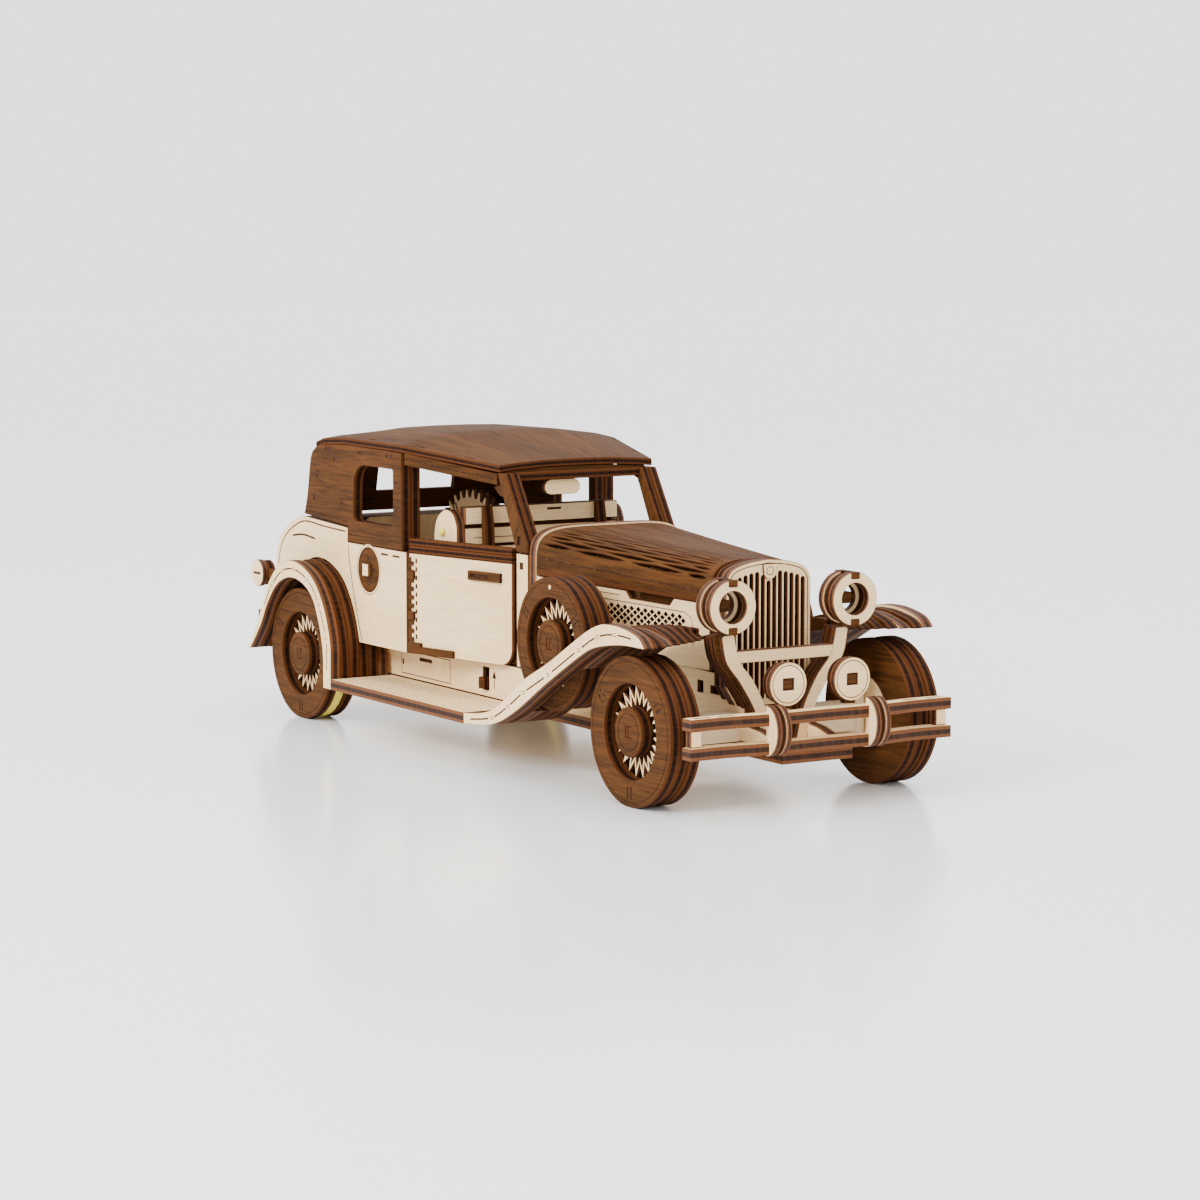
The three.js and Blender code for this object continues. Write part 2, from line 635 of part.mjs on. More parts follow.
function frontBumper() {
  const face = noseX - 5.2;
  const front = curve([
    [face - 1.2, -BAR_END], [face - 1.4, -BAR_END * 0.72], [face + 0.6, -OVERRIDER_Y], [face, 0],
    [face + 0.6, OVERRIDER_Y], [face - 1.4, BAR_END * 0.72], [face - 1.2, BAR_END],
  ], 18);
  const outline = [...front, ...front.map(([x, y]) => [x - BAR_DEPTH, y]).reverse()];
  const pieces = [floorPlate(outline, barLow), floorPlate(outline, barLow + BAR_RISE)];
  for (const [, side] of SIDES) {
    const end = [side * (BAR_END - 7), side * (BAR_END - 3)].sort((a, b) => a - b);
    pieces.push(box(face - 6, face - 2.6, end[0], end[1], barLow + 1, barLow + BAR_RISE + 1));
    const low = barLow - 0.6;
    const high = barLow + BAR_RISE + PLY + 2.6;
    const back = face - 1.5;
    const bow = ring(0, 0, 1, 10, -Math.PI / 2, Math.PI / 2);
    const middle = (low + high) / 2;
    const overrider = bow.map(([u, v]) => [back + u * (noseX - back), middle + v * (high - middle)]);
    const outer = OVERRIDER_Y + OVERRIDER_HALF;
    pieces.push(sidePlate(overrider, outer, side, 2 * OVERRIDER_HALF));
  }
  add("front_bumper", join(...pieces), BIRCH);
  const barTop = barLow + BAR_RISE + PLY;
  const fogZ = barTop + FOG_R + 1.4;
  for (const [hand, side] of SIDES) {
    const disc = barX(FOG_R, face - 8.6, face - 3.2, side * FOG_Y, fogZ, 28);
    const stem = box(face - 6, face - 4, side * FOG_Y - 2, side * FOG_Y + 2, barTop + GAP, fogZ - 2);
    add(`fog_lamp_${hand}`, join(disc, stem), BIRCH);
  }
}

const rearBarLow = boardTop + 4;
const REAR_BAR_RISE = 8.6;
const REAR_BAR_END = 42;

function rearBumper() {
  const bar = (z) => box(tailX, tailX + 5, -REAR_BAR_END, REAR_BAR_END, z, z + PLY);
  const pieces = [bar(rearBarLow), bar(rearBarLow + REAR_BAR_RISE)];
  for (const [, side] of SIDES) {
    const y = side * 16;
    pieces.push(box(tailX + 1, tailX + 4.6, y - 2, y + 2, boardTop + GAP, rearBarLow + REAR_BAR_RISE + 1));
    pieces.push(box(tailX + 1, tailX + 32, y - 2, y + 2, boardTop + GAP, boardTop + GAP + PLY));
  }
  add("rear_bumper", join(...pieces), BIRCH);
  const lampX = tailX + 11;
  const lampZ = beltLow - 18.5;
  for (const [hand, side] of SIDES) {
    const reach = [side * (BODY_HALF - PLY), side * (BODY_HALF + 2)].sort((a, b) => a - b);
    const disc = barY(TAIL_LAMP_R, reach[0], reach[1], lampX, lampZ, 24);
    const root = tailEdgeX - 1.3;
    const arm = sidePlate([
      [lampX, lampZ - 2], [root, lampZ - 2], [root, lampZ + 2], [lampX, lampZ + 2],
    ], BODY_HALF, side);
    add(`tail_lamp_${hand}`, join(disc, arm), BIRCH);
  }
}

// ---------------------------------------------------------------- cabin

function seats() {
  const back = hingeX + 6;
  const cushion = beltLow - 19.8;
  const frontSide = [
    [back + 3, boardTop + GAP + 14], [back + 36, boardTop + GAP + 14],
    [back + 37, cushion], [back + 14, cushion - 3],
    [back + 12, beltTop + 11.6], [back + 8, beltTop + 11.6], [back, beltTop - 3],
  ];
  add("front_seat", sidePlate(frontSide, floorHalf - 1, 1, 2 * (floorHalf - 1)), BIRCH);
  const seatBack = rearAxleX + 7;
  const rearHalf = 30;
  const cushions = SIDES.map(([, side]) => {
    const y = [side * 6, side * rearHalf].sort((a, b) => a - b);
    return box(seatBack, seatBack + 30, y[0], y[1], cushion - 8, cushion);
  });
  const rest = box(seatBack - 4, seatBack + 1, -rearHalf, rearHalf, cushion - 8, beltTop + 2);
  add("rear_seat", join(rest, ...cushions), BIRCH);
  const half = SCUTTLE_HALF - 4.6;
  const dashboard = box(scuttleX - 14, scuttleX - 10, -half, half, beltTop - 19.3, beltTop - 1);
  add("dashboard", dashboard, BIRCH);
}

const COLUMN_TILT = THREE.MathUtils.degToRad(25);
const STEERING_R = 9;

function steeringWheel() {
  const rim = ring(0, 0, STEERING_R, 24);
  const gaps = [0, 1, 2].map((k) => ring(0, 0, 6.6, 6, (k + 0.12) * 2.0944, (k + 0.88) * 2.0944))
    .map((arc) => [...arc, ...arc.map(([u, v]) => [u * 0.42, v * 0.42]).reverse()]);
  const wheel = plate(rim, PLY / 2, ALONG, LEFT, gaps);
  const column = barZ(1.4, -9, 1, 0, 0, 12);
  const mesh = add("steering_wheel", join(wheel, column), STAINED);
  mesh.rotation.y = COLUMN_TILT - Math.PI / 2;
  mesh.position.set(scuttleX - 23.4, 13, beltTop - 7);
}

// ---------------------------------------------------------------- doors

const doorFrontX = scuttleX - 8.2 - GAP;
const doorFrontY = SCUTTLE_HALF + 1.5;
const doorLong = Math.hypot(doorFrontX - hingeX - 2 * GAP, BODY_HALF - doorFrontY);
const doorTurn = Math.atan2(BODY_HALF - doorFrontY, doorFrontX - hingeX);

function doors() {
  const low = sillTop + GAP;
  const corner = 6;
  const ease = PLY * Math.sin(doorTurn);
  const skin = [
    [ease, low], [doorLong - corner, low],
    ...ring(doorLong - corner, low + corner, corner, 4, -Math.PI / 2, 0),
    [doorLong, beltTop - 0.4], [ease, beltTop - 0.4],
  ];
  const handleStart = doorLong - 22;
  for (const [hand, side] of SIDES) {
    const y = [-1, 1.6].map((v) => v * side).sort((a, b) => a - b);
    const handle = box(handleStart, handleStart + 17, y[0], y[1], beltLow - 7.6, beltLow - 4.2);
    const door = add(`door_${hand}`, join(sidePlate(skin, 0, side), handle), BIRCH);
    door.rotation.z = -side * doorTurn;
    door.position.set(hingeX + GAP, side * BODY_HALF, 0);
  }
}

// ---------------------------------------------------------------- wheels, axles and steering

// A closed profile of (radius, y) points turned about Y, mirrored for the right side.
function turned(profile, side) {
  const points = [...profile, profile[0]].map(([r, y]) => new THREE.Vector2(r, side * y));
  return new THREE.LatheGeometry(side > 0 ? points.reverse() : points, 36);
}

// A wheel with its outer face at y = 0, facing the given side; the groove holds a traction band.
function wheelGeometry(radius, side, bore, grooved = false) {
  const seat = radius - BAND_DEEP - GAP;
  const groove = [[radius, -PLY], [seat, -PLY], [seat, -2 * PLY], [radius, -2 * PLY]];
  return turned([
    [bore, HUB_PROUD], [HUB_R, HUB_PROUD], [HUB_R, -1.4], [RIM_R, -1.4], [RIM_R, 0],
    [radius - 0.8, 0], [radius, -0.8], ...(grooved ? groove : []),
    [radius, 0.8 - WHEEL_WIDTH], [radius - 0.8, -WHEEL_WIDTH], [bore, -WHEEL_WIDTH],
  ], side);
}

const BAND_DEEP = 1.4;
const KINGPIN_Y = 36.8;
const KINGPIN_R = 3;
const ARM_REACH = 12;

function wheels() {
  const bore = boreFor(SHAFT_R, 36);
  for (const [hand, side] of SIDES) {
    const spin = new THREE.Group();
    spin.position.set(frontAxleX, side * WHEEL_FACE, WHEEL_R);
    car.add(spin);
    add(`front_wheel_${hand}`, wheelGeometry(WHEEL_R, side, bore), STAINED, spin);
    const rear = new THREE.Group();
    rear.position.set(rearAxleX, side * WHEEL_FACE, WHEEL_R);
    car.add(rear);
    add(`rear_wheel_${hand}`, wheelGeometry(WHEEL_R, side, SHAFT_R + GAP, true), STAINED, rear);
    const [bandTop, bandLow] = [WHEEL_R - 0.1, WHEEL_R - BAND_DEEP];
    const [bandOut, bandIn] = [-PLY - GAP, GAP - 2 * PLY];
    const band = [[bandLow, bandOut], [bandTop, bandOut], [bandTop, bandIn], [bandLow, bandIn]];
    add(`traction_band_${hand}`, turned(band, side), ELASTIC, rear);
    const spare = add(`spare_wheel_${hand}`, wheelGeometry(SPARE_R, side, SHAFT_R), STAINED);
    spare.position.set(spareX, side * SPARE_FACE, spareZ);
    const pin = barZ(KINGPIN_R, boardLow + GAP, WHEEL_R + 8, frontAxleX, side * KINGPIN_Y);
    const reach = [side * KINGPIN_Y, side * (WHEEL_FACE - 0.5)].sort((a, b) => a - b);
    const stub = barY(SHAFT_R, reach[0], reach[1], frontAxleX, WHEEL_R, 36);
    const y = side * KINGPIN_Y;
    const armLow = boardLow + GAP;
    const arm = box(frontAxleX - ARM_REACH - 2, frontAxleX, y - 1.6, y + 1.6, armLow, armLow + 3);
    add(`knuckle_${hand}`, join(pin, stub, arm), BIRCH);
  }
  const beamEnd = KINGPIN_Y - KINGPIN_R - GAP;
  const [beamLow, beamTop] = [boardTop + GAP, grilleLow - GAP];
  const beam = box(frontAxleX - 5, frontAxleX + 4, -beamEnd, beamEnd, beamLow, beamTop);
  add("front_axle_beam", beam, BIRCH);
  const rodX = frontAxleX - ARM_REACH;
  const rodEnd = KINGPIN_Y + 1.4;
  const rod = box(rodX - 1.8, rodX + 1.8, -rodEnd, rodEnd, boardLow - 3.3, boardLow - GAP);
  add("tie_rod", rod, BIRCH);
}

// ---------------------------------------------------------------- winding motor

const PEG_HALF = 2.4;

// Outline of a spur gear with straight-flanked teeth; `phase` is the angle of one tooth's middle.
function gearOutline(teeth, phase) {
  const pitch = (GEAR_MODULE * teeth) / 2;
  const step = (2 * Math.PI) / teeth;
  const root = pitch - 1.15 * GEAR_MODULE;
  const tip = pitch + 0.9 * GEAR_MODULE;
  const foot = 0.31 * step;
  const crest = 0.11 * step;
  return Array.from({ length: teeth }, (_, i) => phase + i * step).flatMap((middle) =>
    [[root, -foot], [tip, -crest], [tip, crest], [root, foot]]
      .map(([radius, turn]) => [radius * Math.cos(middle + turn), radius * Math.sin(middle + turn)]));
}

// Angle of a follower's tooth that meshes with a driver's, across the line between their centres.
function meshedPhase(from, fromTeeth, fromPhase, to, toTeeth) {
  const bearing = Math.atan2(to[1] - from[1], to[0] - from[0]);
  const fromStep = (2 * Math.PI) / fromTeeth;
  const toStep = (2 * Math.PI) / toTeeth;
  const ahead = ((fromPhase - bearing) / fromStep) % 1;
  return bearing + Math.PI - (ahead + 0.5) * toStep;
}

function motor() {
  const axle = [rearAxleX, WHEEL_R];
  const idlerPhase = meshedPhase(axle, AXLE_TEETH, 0, idler, IDLER_TEETH);
  const winderPhase = meshedPhase(idler, IDLER_TEETH, idlerPhase, winder, WINDER_TEETH);
  const gear = (teeth, phase, [x, z]) =>
    sidePlate(gearOutline(teeth, phase), PLY / 2, 1, PLY).translate(x, 0, z);
  const half = WHEEL_FACE - 0.2;
  add("rear_axle", join(barY(SHAFT_R, -half, half, ...axle), gear(AXLE_TEETH, 0, axle)), DOWEL);
  const idlerShaft = barY(SHAFT_R, -PLY - 1, PLY + 1, ...idler);
  add("idler_gear", join(idlerShaft, gear(IDLER_TEETH, idlerPhase, idler)), STAINED);
  const hub = (side) => {
    const [low, high] = [side * BODY_HALF, side * (BODY_HALF - PLY)].sort((a, b) => a - b);
    return barY(PORT_R - GAP, low, high, ...winder, 24);
  };
  const [x, z] = winder;
  const peg = box(x - PEG_HALF, x + PEG_HALF, -BODY_HALF - 1.6, -BODY_HALF + 1, z - PEG_HALF, z + PEG_HALF);
  const shaft = barY(SHAFT_R, -BODY_HALF + 1, BODY_HALF - 1, ...winder);
  add("winding_gear", join(shaft, hub(1), hub(-1), peg, gear(WINDER_TEETH, winderPhase, winder)), BIRCH);
}

chassis();
sills();
runningBoards();
fenders();
quarterPanels();
trunk();
roofQuarters();
rearWindowPanel();
windshield();
roofRails();
roof();
hood();
scuttle();
grille();
lamps();
frontBumper();
rearBumper();
seats();
steeringWheel();
doors();
wheels();
motor();

export default car;
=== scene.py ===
"""The looks of the plywood saloon kit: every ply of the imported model, cut, layered and finished."""
import math
import random

import bmesh
import bpy
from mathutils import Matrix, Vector
from mathutils.geometry import delaunay_2d_cdt


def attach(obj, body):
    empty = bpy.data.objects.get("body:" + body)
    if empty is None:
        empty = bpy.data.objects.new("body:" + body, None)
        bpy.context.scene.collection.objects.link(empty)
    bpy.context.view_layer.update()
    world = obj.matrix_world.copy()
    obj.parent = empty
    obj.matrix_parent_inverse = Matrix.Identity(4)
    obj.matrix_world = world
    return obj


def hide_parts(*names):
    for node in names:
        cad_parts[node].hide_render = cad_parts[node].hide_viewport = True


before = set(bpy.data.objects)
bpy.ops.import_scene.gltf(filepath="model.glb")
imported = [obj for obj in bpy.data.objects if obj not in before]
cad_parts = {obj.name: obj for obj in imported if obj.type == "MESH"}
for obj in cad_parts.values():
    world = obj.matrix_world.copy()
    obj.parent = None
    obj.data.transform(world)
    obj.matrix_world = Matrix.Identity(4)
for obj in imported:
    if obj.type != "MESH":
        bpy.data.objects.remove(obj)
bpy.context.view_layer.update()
seed = random.Random(7)

# All sizes below are in millimetres and become metres when a point is placed.
MM = 0.001
PLY = 4.0
CHAMFER = 0.16
ENGRAVED = 0.22
X, Y, Z = Vector((1, 0, 0)), Vector((0, 1, 0)), Vector((0, 0, 1))

TAIL_X = -170.0
FRONT_AXLE, HINGE, REAR_AXLE = 129.5, -38.0, -109.5
GRILLE_X, TOE_X, LEG_X = 130.9, 25.7, -76.4
BOARD, SILL_TOP, BELT_LOW, BELT_TOP = 19.0, 32.3, 69.8, 75.3
RAIL_TOP, HEADER_TOP, NOSE_TOP = 105.8, 100.8, 79.2
BODY_HALF, SCUTTLE_HALF, GUARD_HALF, FLOOR_HALF = 45.8, 31.5, 57.8, 27.2
LAMP_Y, LAMP_Z, FOG_Y, FOG_Z = 24.4, 65.9, -12.7, 41.6
AXLE_Z, WHEEL_R, WHEEL_FACE, SPARE_FACE = 25.0, 25.0, 53.6, 47.0
SPARE_X, SPARE_Z, SPARE_R = 67.5, 47.0, 23.0
WINDER_X, WINDER_Z, IDLER_X, IDLER_Z = -67.982, 60.487, -89.597, 31.698
AXLE_TEETH, IDLER_TEETH, WINDER_TEETH = 16, 12, 36
DOOR_RUN, DOOR_TAPER, DOOR_LONG = 55.5, 12.8, 56.37
HOOD_RUN, HOOD_TAPER, RAIL_TAPER = 92, 12.9, 14.3
PLY_STEP, PANEL_HALF = 4.1, 41.3

VIEW_SIDE, VIEW_LIFT, LENS = 58.60, 6.42, 107.45
EYE = (1114.36, -666.13, 199.01)
STUDIO_STRENGTH, FLOOR_REACH = 2.3, 6.0
SHARP_ANGLE, GRAIN_SCALE, OBJECT_PLACE = 32, 0.01, 3
OWN = "own"  # a piece that stands in for the node of its own name


# ---- camera and light

def camera():
    side, lift = math.radians(VIEW_SIDE), math.radians(VIEW_LIFT)
    looking = Vector((-math.sin(side) * math.cos(lift), math.cos(side) * math.cos(lift), -math.sin(lift)))
    data = bpy.data.cameras.new("camera")
    data.lens, data.sensor_width = LENS, 36.0
    data.clip_start, data.clip_end = 0.01, 50.0
    eye = bpy.data.objects.new("camera", data)
    eye.location = Vector(EYE) * MM
    eye.rotation_euler = looking.to_track_quat("-Z", "Y").to_euler()
    bpy.context.scene.collection.objects.link(eye)
    bpy.context.scene.camera = eye


def lamp(name, place, target, power, size):
    data = bpy.data.lights.new(name, "AREA")
    data.energy, data.size = power, size
    light = bpy.data.objects.new(name, data)
    light.location = place
    light.rotation_euler = (Vector(target) - Vector(place)).to_track_quat("-Z", "Y").to_euler()
    bpy.context.scene.collection.objects.link(light)


# ---- materials

class Value:
    """A shader socket that does arithmetic."""

    def __init__(self, shading, socket):
        self.shading, self.socket = shading, socket

    def math(self, how, first, second=0.0, third=0.0, clamp=False):
        inputs = {0: first, 1: second, 2: third}
        return self.shading.node("ShaderNodeMath", inputs, operation=how, use_clamp=clamp)

    def __add__(self, other): return self.math("ADD", self, other)
    def __radd__(self, other): return self.math("ADD", other, self)
    def __sub__(self, other): return self.math("SUBTRACT", self, other)
    def __rsub__(self, other): return self.math("SUBTRACT", other, self)
    def __mul__(self, other): return self.math("MULTIPLY", self, other)
    def __rmul__(self, other): return self.math("MULTIPLY", other, self)
    def clamped(self): return self.math("ADD", self, 0.0, clamp=True)

    def ramp(self, low, high):
        """0 below low, 1 above high, smooth between."""
        inputs = {"Value": self, "From Min": low, "From Max": high}
        return self.shading.node("ShaderNodeMapRange", inputs, interpolation_type="SMOOTHSTEP")


class Shading:
    """One material's nodes."""

    def __init__(self, name):
        self.material = bpy.data.materials.new(name)
        self.material.use_nodes = True
        self.tree = self.material.node_tree
        self.shader = self.tree.nodes["Principled BSDF"]

    def node(self, kind, inputs=None, out=0, **settings):
        made = self.tree.nodes.new(kind)
        for key, value in settings.items():
            setattr(made, key, value)
        for key, value in (inputs or {}).items():
            self.feed(made.inputs[key], value)
        return Value(self, made.outputs[out])

    def feed(self, socket, value):
        if isinstance(value, Value):
            self.tree.links.new(value.socket, socket)
        else:
            socket.default_value = value

    def noise(self, place, scale, detail=3.0, roughness=0.55, distortion=0.0):
        stretched = self.node("ShaderNodeVectorMath", {0: place, 1: scale}, operation="MULTIPLY")
        inputs = {"Vector": stretched, "Scale": 1.0, "Detail": detail, "Roughness": roughness,
                  "Distortion": distortion}
        return self.node("ShaderNodeTexNoise", inputs)

    def mix(self, factor, first, second):
        made = self.tree.nodes.new("ShaderNodeMix")
        made.data_type = "RGBA"
        self.feed(made.inputs[0], factor)
        self.feed(made.inputs[6], first)
        self.feed(made.inputs[7], second)
        return Value(self, made.outputs[2])

    def finish(self, colour, rough, height, bump, specular=0.3):
        normal = self.node("ShaderNodeBump", {"Strength": bump, "Distance": 0.0002, "Height": height})
        self.feed(self.shader.inputs["Base Color"], colour)
        self.feed(self.shader.inputs["Roughness"], rough)
        self.feed(self.shader.inputs["Normal"], normal)
        self.shader.inputs["Specular IOR Level"].default_value = specular
        return self.material


def rgb(red, green, blue):
    """A display colour from 0 to 255 as a linear one."""
    linear = [(c / 255 / 12.92) if c < 10 else ((c / 255 + 0.055) / 1.055) ** 2.4 for c in (red, green, blue)]
    return (*linear, 1.0)


def ply_material(name, pale, deep, streak, skin_edge, core_edge, rough, contrast, specular):
    """Veneered sheet: grain on the faces, three burnt plies on the cut edges."""
    s = Shading(name)
    grain = s.node("ShaderNodeUVMap", uv_map="grain")
    cut = s.node("ShaderNodeUVMap", uv_map="cut")
    depth = s.node("ShaderNodeSeparateXYZ", {0: cut})
    flag = Value(s, depth.socket.node.outputs[1])
    fibre = s.noise(grain, (7, 260, 1), 6, 0.62, 0.3)
    figure = s.noise(grain, (3, 42, 1), 4, 0.5, 1.6)
    drift = s.noise(grain, (1.6, 4, 1), 2)
    pores = s.noise(grain, (38, 620, 1), 2).ramp(0.62, 0.72)
    amount = (fibre - 0.5) * contrast + (figure - 0.5) * contrast * 1.3 + (drift - 0.5) * 1.1 + 0.45
    face = s.mix(amount.clamped(), pale, deep)
    face = s.mix(pores * 0.45, face, streak)
    char = s.noise(grain, (60, 60, 1), 4, 0.6)
    core = depth.ramp(0.27, 0.33) * (1.0 - depth.ramp(0.67, 0.73))
    side = s.mix((core * 0.9 + (char - 0.5) * 0.9).clamped(), skin_edge, core_edge)
    colour = s.mix(flag, face, side)
    height = fibre * 0.6 + figure * 0.2 - pores * 0.5
    return s.finish(colour, rough + (fibre - 0.5) * 0.16 + flag * 0.1, height, 0.5, specular)


def burnt_material(name, dark, brown):
    """The floor of an engraved line."""
    s = Shading(name)
    grain = s.node("ShaderNodeUVMap", uv_map="grain")
    char = s.noise(grain, (90, 90, 1), 4, 0.7)
    return s.finish(s.mix(char.ramp(0.4, 0.7), dark, brown), char * 0.2 + 0.7, char, 0.5, 0.15)


def solid_wood(name, pale, deep, streak):
    """Turned or sawn wood on a carried-over shape, with its grain along the car's width."""
    s = Shading(name)
    place = s.node("ShaderNodeTexCoord", out=OBJECT_PLACE)
    fibre = s.noise(place, (2600, 60, 2600), 5, 0.6)
    drift = s.noise(place, (90, 14, 90), 3)
    flecks = s.noise(place, (5200, 300, 5200), 2).ramp(0.6, 0.72)
    face = s.mix(((fibre - 0.5) * 1.2 + (drift - 0.5) + 0.45).clamped(), pale, deep)
    return s.finish(s.mix(flecks * 0.4, face, streak), fibre * 0.2 + 0.52, fibre - flecks * 0.4, 0.3)


def elastic_material(name):
    """Yellow elastic cord, ribbed by its woven cover."""
    s = Shading(name)
    place = s.node("ShaderNodeTexCoord", out=OBJECT_PLACE)
    weave = s.noise(place, (1500, 4200, 1500), 3, 0.6)
    tone = s.mix(weave.ramp(0.35, 0.65), rgb(196, 178, 40), rgb(240, 226, 96))
    return s.finish(tone, weave * 0.3 + 0.4, weave, 0.6)


BIRCH = {"slot": "birch_ply", "material": ply_material(
    "birch_ply", rgb(238, 207, 158), rgb(218, 182, 132), rgb(172, 128, 82), rgb(100, 59, 30), rgb(32, 15, 8),
    0.6, 1.1, 0.2)}
STAINED = {"slot": "stained_ply", "material": ply_material(
    "stained_ply", rgb(84, 50, 20), rgb(46, 27, 10), rgb(18, 10, 5), rgb(76, 41, 18), rgb(22, 10, 5),
    0.68, 1.6, 0.07)}
DOWEL = {"slot": "dowel", "material": solid_wood("dowel", rgb(236, 212, 172), rgb(206, 172, 124),
    rgb(160, 118, 74))}
ELASTIC = {"slot": "elastic", "material": elastic_material("elastic")}
DARK_WOOD = solid_wood("stained_wood", rgb(80, 48, 19), rgb(46, 27, 10), rgb(18, 10, 5))
PALE_WOOD = solid_wood("birch_wood", rgb(226, 200, 162), rgb(204, 172, 130), rgb(168, 128, 86))
BURNT = burnt_material("burnt_line", rgb(38, 20, 12), rgb(96, 58, 34))


# ---- flat shapes

def rect(u0, u1, v0, v1):
    return [(u0, v0), (u1, v0), (u1, v1), (u0, v1)]


def arc(u, v, radius, start, stop, steps):
    turns = [math.radians(start + (stop - start) * i / steps) for i in range(steps + 1)]
    return [(u + radius * math.cos(t), v + radius * math.sin(t)) for t in turns]


def circle(u, v, radius, steps=48):
    return arc(u, v, radius, 0, 360, steps)[:-1]


def pill(u0, u1, v0, v1, steps=5):
    """A bar with round ends."""
    r = min(u1 - u0, v1 - v0) / 2
    if u1 - u0 >= v1 - v0:
        return arc(u1 - r, v0 + r, r, -90, 90, steps) + arc(u0 + r, v0 + r, r, 90, 270, steps)
    return arc(u0 + r, v1 - r, r, 0, 180, steps) + arc(u0 + r, v0 + r, r, 180, 360, steps)


def spline(points, steps):
    """A smooth curve through points, evenly stepped from one to the next."""
    count = len(points)
    made = []
    for i in range(steps + 1):
        at = (count - 1) * i / steps
        k = min(int(at), count - 2)
        t = at - k
        p = [points[max(k - 1, 0)], points[k], points[k + 1], points[min(k + 2, count - 1)]]
        made.append(tuple(
            (2 * p[1][a] - 2 * p[2][a] + (p[2][a] - p[0][a]) / 2 + (p[3][a] - p[1][a]) / 2) * t ** 3
            + (-3 * p[1][a] + 3 * p[2][a] - (p[2][a] - p[0][a]) - (p[3][a] - p[1][a]) / 2) * t ** 2
            + (p[2][a] - p[0][a]) / 2 * t + p[1][a] for a in (0, 1)))
    return made


def stroke(points, width=0.35):
    """An open line given a width: one closed loop round it."""
    left, right = [], []
    for i, (u, v) in enumerate(points):
        before, after = points[max(i - 1, 0)], points[min(i + 1, len(points) - 1)]
        du, dv = after[0] - before[0], after[1] - before[1]
        long = math.hypot(du, dv)
        left.append((u - dv / long * width / 2, v + du / long * width / 2))
        right.append((u + dv / long * width / 2, v - du / long * width / 2))
    return left + right[::-1]


def band(loop, inward):
    """A closed engraved border: a loop and the same one moved in."""
    return [offset(wound(loop), inward), offset(wound(loop), inward + 0.35)]


def area(loop):
    return sum(a[0] * b[1] - b[0] * a[1] for a, b in zip(loop, loop[1:] + loop[:1])) / 2


def wound(loop, forward=True):
    """The loop without doubled points, wound anticlockwise, or clockwise if not forward."""
    kept = [p for i, p in enumerate(loop) if math.dist(p, loop[i - 1]) > 1e-3]
    return kept if (area(kept) > 0) == forward else kept[::-1]


def offset(loop, by):
    """The loop moved to its left, which is inward when it is wound anticlockwise."""
    moved = []
    for i, (u, v) in enumerate(loop):
        a, c = loop[i - 1], loop[(i + 1) % len(loop)]
        one, two = math.dist(a, (u, v)), math.dist((u, v), c)
        n1 = (-(v - a[1]) / one, (u - a[0]) / one)
        n2 = (-(c[1] - v) / two, (c[0] - u) / two)
        scale = by / max(0.5, 1 + n1[0] * n2[0] + n1[1] * n2[1])
        moved.append((u + (n1[0] + n2[0]) * scale, v + (n1[1] + n2[1]) * scale))
    return moved


def dense(loop, step):
    """The loop with points added so that no side is longer than step."""
    made = []
    for a, b in zip(loop, loop[1:] + loop[:1]):
        count = max(1, math.ceil(math.dist(a, b) / step))
        made += [(a[0] + (b[0] - a[0]) * i / count, a[1] + (b[1] - a[1]) * i / count) for i in range(count)]
    return made


def inside(loops, u, v):
    """Whether a point lies in the sheet: within an odd number of its loops."""
    crossings = 0
    for loop in loops:
        for (u0, v0), (u1, v1) in zip(loop, loop[1:] + loop[:1]):
            if (v0 > v) != (v1 > v) and u < u0 + (v - v0) * (u1 - u0) / (v1 - v0):
                crossings += 1
    return crossings % 2 == 1


def near(loops, u, v):
    """The loops whose height a point shares: only these can hold it."""
    return [loop for loop, low, high, far in loops if low <= v <= high and u <= far]


def mirrored(half):
    return half + [(-u, v) for u, v in reversed(half) if abs(u) > 1e-6]


# ---- pieces

